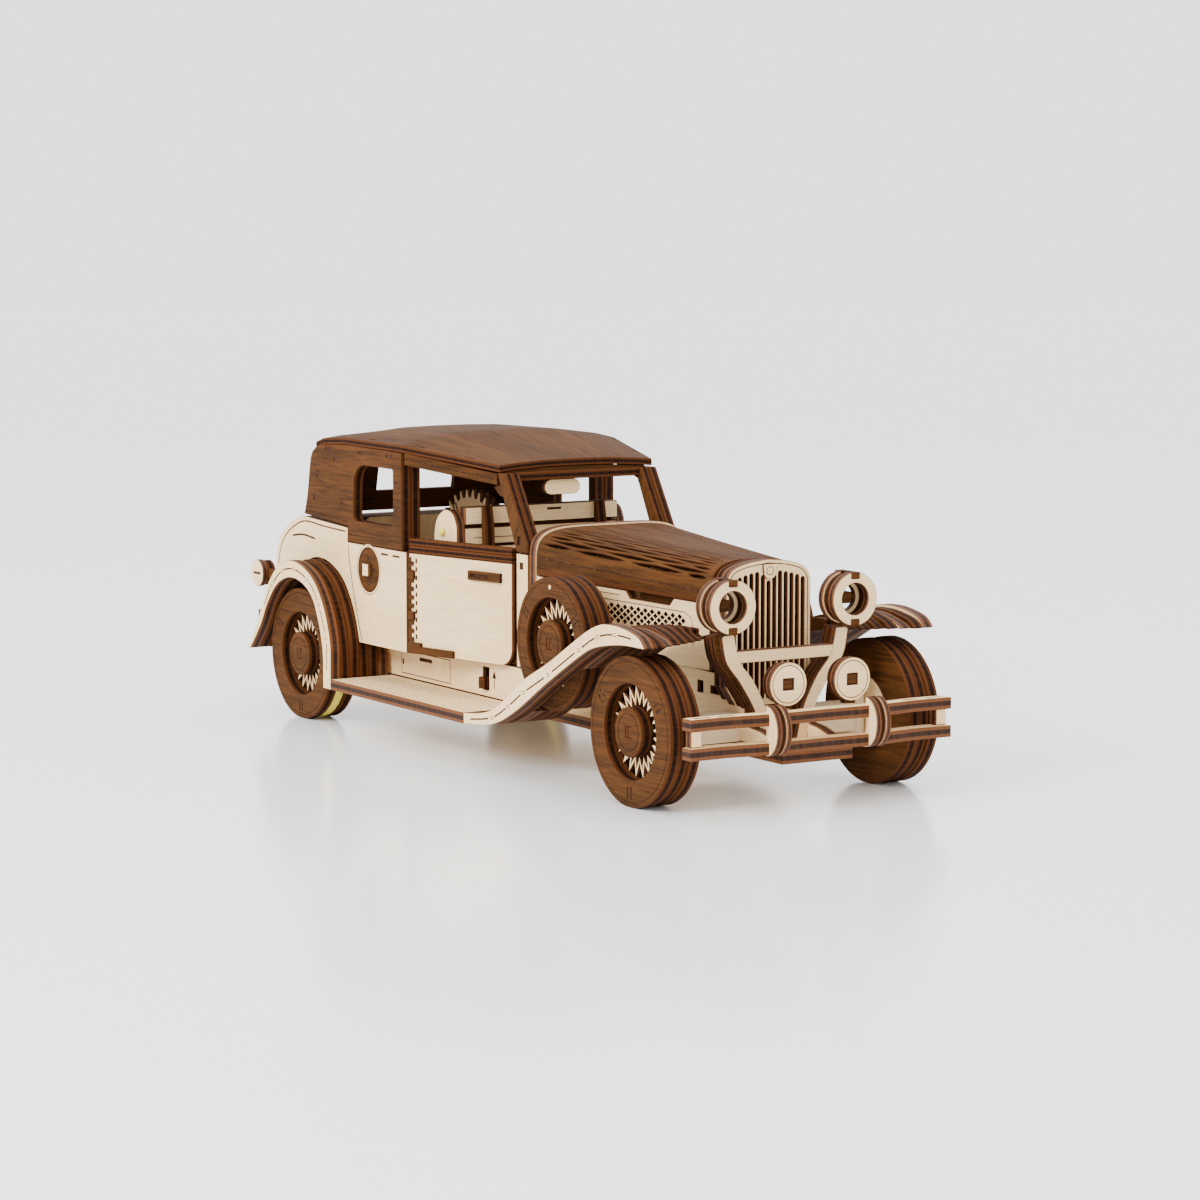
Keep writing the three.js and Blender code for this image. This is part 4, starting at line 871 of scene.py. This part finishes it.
def headlamps():
    for hand, flip in SIDES:
        node, y, z = f"headlamp_{hand}", -LAMP_Y, LAMP_Z
        ring, hole = notched_ring(y, z, 9.0, 5.4)
        with Piece(f"{node}_rings", BIRCH, [node], flip) as piece:
            piece.ply(ring, **front_at(146.4), thick=3.0, holes=[hole])
            piece.ply(circle(y, z, 8.9), **front_at(139.9), thick=2.4, holes=[circle(y, z, 4.6, 30)])
        with Piece(f"{node}_shade", STAINED, flip=flip) as piece:
            piece.ply(circle(y, z, 8.4), **front_at(143.3), thick=3.3, holes=[circle(y, z, 5.9, 36)])
            piece.ply(rect(y - 5.2, y + 5.2, z - 1.0, z + 1.0), **front_at(139.4), thick=1.8)
            piece.ply(rect(y - 1.5, y + 1.5, z + 6.9, z + 9.0), **front_at(147.0), thick=10.6)
            piece.ply(rect(y - 1.5, y + 1.5, z - 9.0, z - 6.9), **front_at(147.0), thick=10.6)
            piece.ply(rect(y - 1.9, y + 1.9, z - 1.9, z + 1.9), **front_at(141.6), thick=4.0)


def lamp_bracket():
    arm = spline([(-9.4, 19.4), (-13, 30), (-19.6, 40), (-25.4, 47), (-27.4, 55.4)], 22)
    back = spline([(-22.2, 56.1), (-19.8, 47.4), (-13.8, 40.4), (-8, 30.2), (-5, 19.4)], 22)
    bar = [(-21.5, 46.5), (21.5, 46.5), (21.5, 50.5), (-21.5, 50.5)]
    with Piece("lamp_bracket", BIRCH, OWN) as piece:
        for side in (1, -1):
            piece.ply([(side * u * 0.92, v) for u, v in arm + [(-26.4, 56.1)] + back], **front_at(141.1),
                      thick=1.9)
        piece.ply(bar, **front_at(141.0), thick=3.8)
    with Piece("lamp_bracket_backing", STAINED) as piece:
        for side in (1, -1):
            for k, wide in enumerate((0.995, 0.995, 0.98)):
                inner = [(side * u * wide, v) for u, v in arm + back]
                piece.ply(inner, **front_at(139.1 - 2.4 * k), thick=2.3)


def front_bumper():
    face = 164.8
    curve = spline([(face - 1.2, -51.7), (face - 1.4, -37.2), (face + 0.6, -19.7), (face, 0),
                    (face + 0.6, 19.7), (face - 1.4, 37.2), (face - 1.2, 51.7)], 48)
    outline = curve + [(x - 5.2, y) for x, y in reversed(curve)]
    slots = [[rect(face - 4.6, face - 3.2, y - 3.2, y + 3.2)] for y in (-46, -36.5, 36.5, 46)]
    with Piece("front_bumper_bars", BIRCH, ["front_bumper"]) as piece:
        piece.ply(outline, **level_at(33.0), thick=3.95, marks=slots, turn=90)
        piece.ply(outline, **level_at(23.5), thick=3.95, turn=90)
    with Piece("front_bumper_spacers", BIRCH) as piece:
        for y in (-50.7, 46.7):
            piece.ply(rect(y, y + 4, 23.7, 28.9), **front_at(face - 2.7), thick=3.3)
    low, high = 18.9, 35.6
    for hand, flip in SIDES:
        for k, finish in enumerate((BIRCH, STAINED, BIRCH)):
            bow = [(face - 1.4 + 6.5 * math.cos(t), 27.25 + (high - low) / 2 * math.sin(t))
                   for t in [math.radians(-90 + 9 * i) for i in range(21)]]
            shape = [(x - (0.4 if k == 1 else 0), z) for x, z in bow]
            put(f"overrider_{hand}_{k + 1}", finish, shape, flip=flip, **side_at(22.65 - 2.0 * k),
                thick=1.92, turn=90)
        with Piece(f"fog_lamp_{hand}", BIRCH, OWN, flip) as piece:
            rim = [circle(FOG_Y, FOG_Z, 6.3), circle(FOG_Y, FOG_Z, 6.0)]
            piece.ply(circle(FOG_Y, FOG_Z, 7.2), **front_at(161.5), thick=2.6, marks=[rim],
                      holes=[rect(-14.8, -10.6, FOG_Z - 1.9, FOG_Z + 1.9)])
        with Piece(f"fog_lamp_backing_{hand}", STAINED, flip=flip) as piece:
            piece.ply(circle(FOG_Y, FOG_Z, 6.7), **front_at(158.8), thick=2.5)
            piece.ply(rect(-14.5, -10.9, FOG_Z - 1.6, FOG_Z + 1.6), **front_at(161.2), thick=2.3)
            piece.ply(rect(-14.6, -10.8, 33.4, 37), **front_at(160.6), thick=3.4)


def rear_bumper():
    with Piece("rear_bumper_bars", BIRCH, ["rear_bumper"]) as piece:
        for top in (26.95, 35.5):
            piece.ply(rect(TAIL_X + 0.05, TAIL_X + 4.95, -42, 42), **level_at(top), thick=3.9, turn=90)
        for y in (-18, 14):
            piece.ply(rect(TAIL_X + 1, TAIL_X + 32, y, y + 4), **level_at(23.2), thick=3.8)
    with Piece("rear_bumper_posts", STAINED) as piece:
        for y in (-14.1, 17.9):
            piece.ply(rect(-TAIL_X - 4.6, -TAIL_X - 1.2, 23.4, 31.4), at=(0, y, 0), across=-X, up=Z,
                      thick=3.8)
    for hand, flip in SIDES:
        node, x, z = f"tail_lamp_{hand}", TAIL_X + 11, 51.3
        put(node, BIRCH, circle(x, z, 5.3, 36), OWN, flip, **side_at(47.8), thick=2.2,
            marks=[[pill(x - 3.2, x + 3.2, z - 0.5, z + 0.5)]])
        with Piece(f"{node}_backing", STAINED, flip=flip) as piece:
            piece.ply(circle(x, z, 4.9, 36), **side_at(45.5), thick=3.6)
            piece.ply([(x + 4, z - 1.9), (-147.4, z - 1.9), (-147.4, z + 1.9), (x + 4, z + 1.9)],
                      **side_at(45.3), thick=3.2)


# ---- cabin

def seats():
    side = [(-29, 33.4), (4, 33.4), (5, 50), (-16, 47.2), (-18, 58.9), (-25, 58.9), (-29, 50)]
    end = [(-35, 54), (-17, 54), (-18.2, 80)] + spline([(-18.2, 80), (-21, 84.4), (-27, 85.6), (-33, 82),
        (-35, 76)], 14)[1:]
    with Piece("front_seat_boards", BIRCH, ["front_seat"]) as piece:
        for face_y in (-26.1, 22.2):
            piece.ply(side, at=(0, face_y, 0), across=X, up=Z, thick=3.9, turn=90)
        for face_y in (-35.8, 32.4):
            piece.ply(end, at=(0, face_y, 0), across=X, up=Z, thick=3.4, turn=90)
        piece.ply(rect(-32.3, 32.3, 80.6, 86.8), **front_at(-17.6), thick=5.6,
                  marks=[[rect(2, 8, 84.6, 85.5)]])
        for k, low in enumerate((73.2, 66.4, 59.6)):
            lines = [[stroke([(-29, low + 2.4), (29, low + 2.4)], 0.3)]]
            piece.ply(rect(-32.3, 32.3, low, low + 6.0), **front_at(-18.2 + 0.7 * k), thick=3.0, marks=lines)
        pleats = [[stroke([(x, -20), (x, 20)], 0.3)] for x in (-12, -8, -4, 0)]
        piece.ply(rect(-17, 3.6, -22, 22), **level_at(49.9), thick=3.0, marks=pleats)
    with Piece("front_seat_straps", STAINED) as piece:
        piece.ply(rect(-32, 32, 57, 80.2), **front_at(-21.6), thick=1.4)
        strap = [(-16.4, 54), (-13.2, 55), (-14.6, 80), (-16.0, 87.1), (-17.4, 87.1), (-17.4, 80.4),
                 (-16.4, 66)]
        for y in (-26, 22):
            piece.ply(strap, at=(0, y, 0), across=X, up=Z, turn=70)
    put("elastic_end", ELASTIC, circle(-28, 77.4, 1.4, 20), **side_at(37.3), thick=1.4, chamfer=0.4)
    with Piece("rear_seat", BIRCH, OWN) as piece:
        rest = [(-29.9, 42.1), (29.9, 42.1), (29.9, 74)] + arc(26.9, 74, 3, 0, 90, 4) + arc(-26.9, 74, 3,
            90, 180, 4)
        slots = [[rect(y, y + 2.4, 56, 72)] for y in (-24, -16, -8, 5.6, 13.6, 21.6)]
        piece.ply(rest, **front_at(-101.6), thick=4.4, marks=slots, turn=90)
        for y in (-30, 6):
            piece.ply(rect(-101.3, -72.6, y, y + 24), **level_at(50), thick=3.9)
    dials = [[circle(y, 68, r + 0.3, 28), circle(y, 68, r, 28)] for y, r in ((-13, 3.4), (-5, 2.4), (5, 2.4))]
    put("dashboard", BIRCH, rect(-26.8, 26.8, 56, 74.2), OWN, at=(12.05, 0, 0), across=-Y, up=Z, thick=3.9,
        marks=dials + [[rect(14, 23, 62, 66)]])


# ---- doors

def doors():
    turn = math.atan2(DOOR_TAPER, DOOR_RUN)
    along = Vector((math.cos(turn), math.sin(turn), 0))
    out = along.cross(Z)
    long = DOOR_LONG
    skin = ([(1.2, 32.6), (long - 6, 32.6)] + arc(long - 6, 38.6, 6, -90, 0, 6) + [(long, 69.4), (1.2, 69.4)])
    knuckles = [[rect(4.6, 5.6, z, z + 1.7)] for z in [38 + 3.1 * i for i in range(10)]]
    strip = [(1.3, 37)]
    for i in range(10):
        z = 37 + 3.1 * i
        strip += [(3.9, z), (3.9, z + 1.6), (2.5, z + 1.6), (2.5, z + 3.1)]
    strip.append((1.3, 68))
    start = long - 22
    for hand, flip in SIDES:
        hinge = Vector((HINGE + 0.3, -BODY_HALF, 0))
        door = {"across": along, "up": Z}
        body = f"door_{hand}"
        put(f"door_skin_{hand}", BIRCH, skin, [f"door_{hand}"], flip, body=body, at=hinge, marks=knuckles,
            **door)
        with Piece(f"door_rail_{hand}", STAINED, flip=flip, body=body) as piece:
            for top in (72.15, 74.8):
                piece.ply(rect(1.2, long, 0.02, 3.95), at=hinge + Z * top, across=along, up=-out, thick=2.5)
            piece.ply(rect(start, start + 17, 62.2, 65.6), at=hinge + out * 1.5, thick=1.45,
                      marks=[[rect(start + 1.4, start + 11, 63.3, 64.6)]], engraved=0.9, **door)
            piece.ply(strip, at=hinge + out * 0.6, thick=0.55, chamfer=0.1, **door)
            for z in (45, 60):
                piece.ply(rect(1.4, 4.6, z, z + 3.2), at=hinge + out * 1.2, thick=1.15, **door)
            bracket = [(1.4, 32.7), (26, 32.7), (26, 35.4), (8.4, 35.4), (8.4, 36.8), (1.4, 36.8)]
            piece.ply(bracket, at=hinge + out * 1.3, thick=1.25, **door)


# ---- wheels and running gear

def zigzag(x, z, tips=22):
    outer, inner = [], []
    for i in range(2 * tips):
        turn = math.pi * i / tips
        for loop, radius in ((outer, (15.7, 10.6)[i % 2]), (inner, (13.1, 8.3)[i % 2])):
            loop.append((x + radius * math.cos(turn), z + radius * math.sin(turn)))
    return outer, inner


def tabs_round(x, z, radius, count=3, phase=90):
    """Joint marks round a disc: two short bars each."""
    made = []
    for i in range(count):
        turn = math.radians(phase + 360 / count * i)
        out, along = (math.cos(turn), math.sin(turn)), (-math.sin(turn), math.cos(turn))
        for shift in (-1.05, 1.05):
            made.append([[(x + out[0] * (radius + b) + along[0] * (shift + a),
                           z + out[1] * (radius + b) + along[1] * (shift + a))
                          for a, b in ((-0.55, -2), (0.55, -2), (0.55, 2), (-0.55, 2))]])
    return made


def wheel(name, body, x, z, face, radius, flip, banded=False):
    spot = (x, z)
    axle = circle(*spot, 2.1, 20)
    with Piece(f"{name}_discs", STAINED, [name], flip, body=body) as piece:
        lines = [[circle(*spot, radius - 1.6, 72), circle(*spot, radius - 1.85, 72)]]
        piece.ply(circle(*spot, radius, 96), **side_at(face), thick=3.9, holes=[circle(*spot, 16, 60)],
                  marks=tabs_round(*spot, radius * 0.8, 3, 30 if radius == SPARE_R else 150) + lines)
        piece.ply(circle(*spot, radius - (1.7 if banded else 0.5), 96), **side_at(face - 4.05), thick=3.85,
                  holes=[circle(*spot, 15.9, 60)])
        piece.ply(circle(*spot, radius - 0.1, 96), **side_at(face - 8.05), thick=3.9, holes=[axle])
        square = rect(x - 2.0, x + 2.0, z - 2.0, z + 2.0)
        piece.ply(circle(*spot, 8.3, 48), **side_at(face + 0.6), thick=4.2, holes=[square],
                  marks=[[circle(*spot, 6.4, 40), circle(*spot, 6.05, 40)]])
        for shift in (-1.0, 1.0):
            piece.ply(rect(x + shift - 0.85, x + shift + 0.85, z - 1.85, z + 1.85), **side_at(face + 0.4),
                      thick=2.2)
    if radius == SPARE_R:
        put(f"{name}_pin", BIRCH, circle(x, z + 19.6, 0.95, 20), flip=flip, body=body,
            **side_at(face + 0.3), thick=1.2, chamfer=0.2)
    outer, inner = zigzag(*spot)
    with Piece(f"{name}_spokes", BIRCH, flip=flip, body=body) as piece:
        piece.ply(outer, **side_at(face - 3.8), thick=3.2, holes=[inner], turn=35)
        piece.ply(circle(*spot, 12.5, 48), at=(0, -(face - 12.05), 0), across=X, up=Z, thick=1.2,
                  holes=[axle])


def wheels():
    for hand, flip in SIDES:
        front, rear, spare = (f"{place}_wheel_{hand}" for place in ("front", "rear", "spare"))
        wheel(front, front, FRONT_AXLE, AXLE_Z, WHEEL_FACE, WHEEL_R, flip)
        wheel(rear, "drive_axle", REAR_AXLE, AXLE_Z, WHEEL_FACE, WHEEL_R, flip, True)
        wheel(spare, "root", SPARE_X, SPARE_Z, SPARE_FACE, SPARE_R, flip)
        put(f"traction_band_{hand}", ELASTIC, circle(REAR_AXLE, AXLE_Z, 24.9, 96), OWN, flip,
            body="drive_axle", **side_at(49.3), thick=3.4, chamfer=0.5,
            holes=[circle(REAR_AXLE, AXLE_Z, 23.6, 96)])


def gear_line(x, z, teeth, phase, root, tip, foot=0.31, crest=0.11):
    step = 2 * math.pi / teeth
    return [(x + r * math.cos(phase + i * step + a * step), z + r * math.sin(phase + i * step + a * step))
            for i in range(teeth) for r, a in ((root, -foot), (tip, -crest), (tip, crest), (root, foot))]


def mesh_phase(start, teeth, phase, end, other):
    bearing = math.atan2(end[1] - start[1], end[0] - start[0])
    ahead = math.fmod((phase - bearing) / (2 * math.pi / teeth), 1)
    return bearing + math.pi - (ahead + 0.5) * 2 * math.pi / other


def motor():
    axle, idler, winder = (REAR_AXLE, AXLE_Z), (IDLER_X, IDLER_Z), (WINDER_X, WINDER_Z)
    idler_phase = mesh_phase(axle, AXLE_TEETH, 0, idler, IDLER_TEETH)
    winder_phase = mesh_phase(idler, IDLER_TEETH, idler_phase, winder, WINDER_TEETH)
    windows = [arc(*winder, 21, a + 8, a + 52, 8) + arc(*winder, 11, a + 48, a + 12, 5)
               for a in range(0, 360, 60)]
    with Piece("winding_gear", BIRCH, OWN, body="winder") as piece:
        piece.ply(gear_line(*winder, WINDER_TEETH, winder_phase, 25.3, 28.3), at=(0, -2, 0), across=X, up=Z,
                  thick=4.0, holes=windows, marks=tabs_round(*winder, 23.2, 6, 0))
        peg = rect(WINDER_X - 2.3, WINDER_X + 2.3, WINDER_Z - 2.3, WINDER_Z + 2.3)
        piece.ply(peg, **side_at(47.3), thick=3.4)
    put("winding_shaft", DOWEL, circle(*winder, 2.0, 28), body="winder", at=(0, -44, 0), across=X, up=Z,
        thick=88, chamfer=0.3)
    for hand, flip in SIDES:
        with Piece(f"winding_port_{hand}", STAINED, flip=flip, body="winder") as piece:
            cross = [rect(WINDER_X - 5.9, WINDER_X - 3.2, WINDER_Z - 1, WINDER_Z + 1),
                     rect(WINDER_X + 3.2, WINDER_X + 5.9, WINDER_Z - 1, WINDER_Z + 1),
                     rect(WINDER_X - 1, WINDER_X + 1, WINDER_Z - 5.9, WINDER_Z - 3.2),
                     rect(WINDER_X - 1, WINDER_X + 1, WINDER_Z + 3.2, WINDER_Z + 5.9)]
            piece.ply(circle(*winder, 8.05, 48), **side_at(45.7), marks=[[c] for c in cross])


def carried_over():
    """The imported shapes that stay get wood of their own."""
    for names, material in (
        (("knuckle_left", "knuckle_right", "front_axle_beam", "tie_rod"), PALE_WOOD),
        (("rear_axle",), DOWEL["material"]),
        (("idler_gear", "steering_wheel"), DARK_WOOD),
    ):
        for name in names:
            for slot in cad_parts[name].material_slots:
                slot.link = "OBJECT"
                slot.material = material


# ---- the set

def floor():
    s = Shading("floor")
    s.shader.inputs["Base Color"].default_value = (0.93, 0.93, 0.93, 1)
    s.shader.inputs["Roughness"].default_value = 0.16
    s.shader.inputs["Specular IOR Level"].default_value = 0.5
    mesh = bpy.data.meshes.new("floor")
    far = FLOOR_REACH
    mesh.from_pydata([(-far, -far, 0), (far, -far, 0), (far, far, 0), (-far, far, 0)], [], [(0, 1, 2, 3)])
    mesh.materials.append(s.material)
    ground = bpy.data.objects.new("floor", mesh)
    bpy.context.scene.collection.objects.link(ground)
    world = bpy.data.worlds.new("studio")
    world.use_nodes = True
    world.node_tree.nodes["Background"].inputs["Color"].default_value = (1, 1, 1, 1)
    world.node_tree.nodes["Background"].inputs["Strength"].default_value = STUDIO_STRENGTH
    bpy.context.scene.world = world


camera()
floor()
lamp("key", (0.3, -1.2, 0.8), (0, 0, 0.05), 24, 0.5)
lamp("top", (-0.3, 0.2, 1.4), (0, 0, 0.05), 8, 1.2)
for build in (chassis, sills, running_boards, front_fenders, rear_fenders, quarter_panels, tail,
              roof_quarters, windshield, roof_rails, roof, hood, scuttle, grille, headlamps, lamp_bracket,
              front_bumper, rear_bumper, seats, doors, wheels, motor, carried_over):
    build()
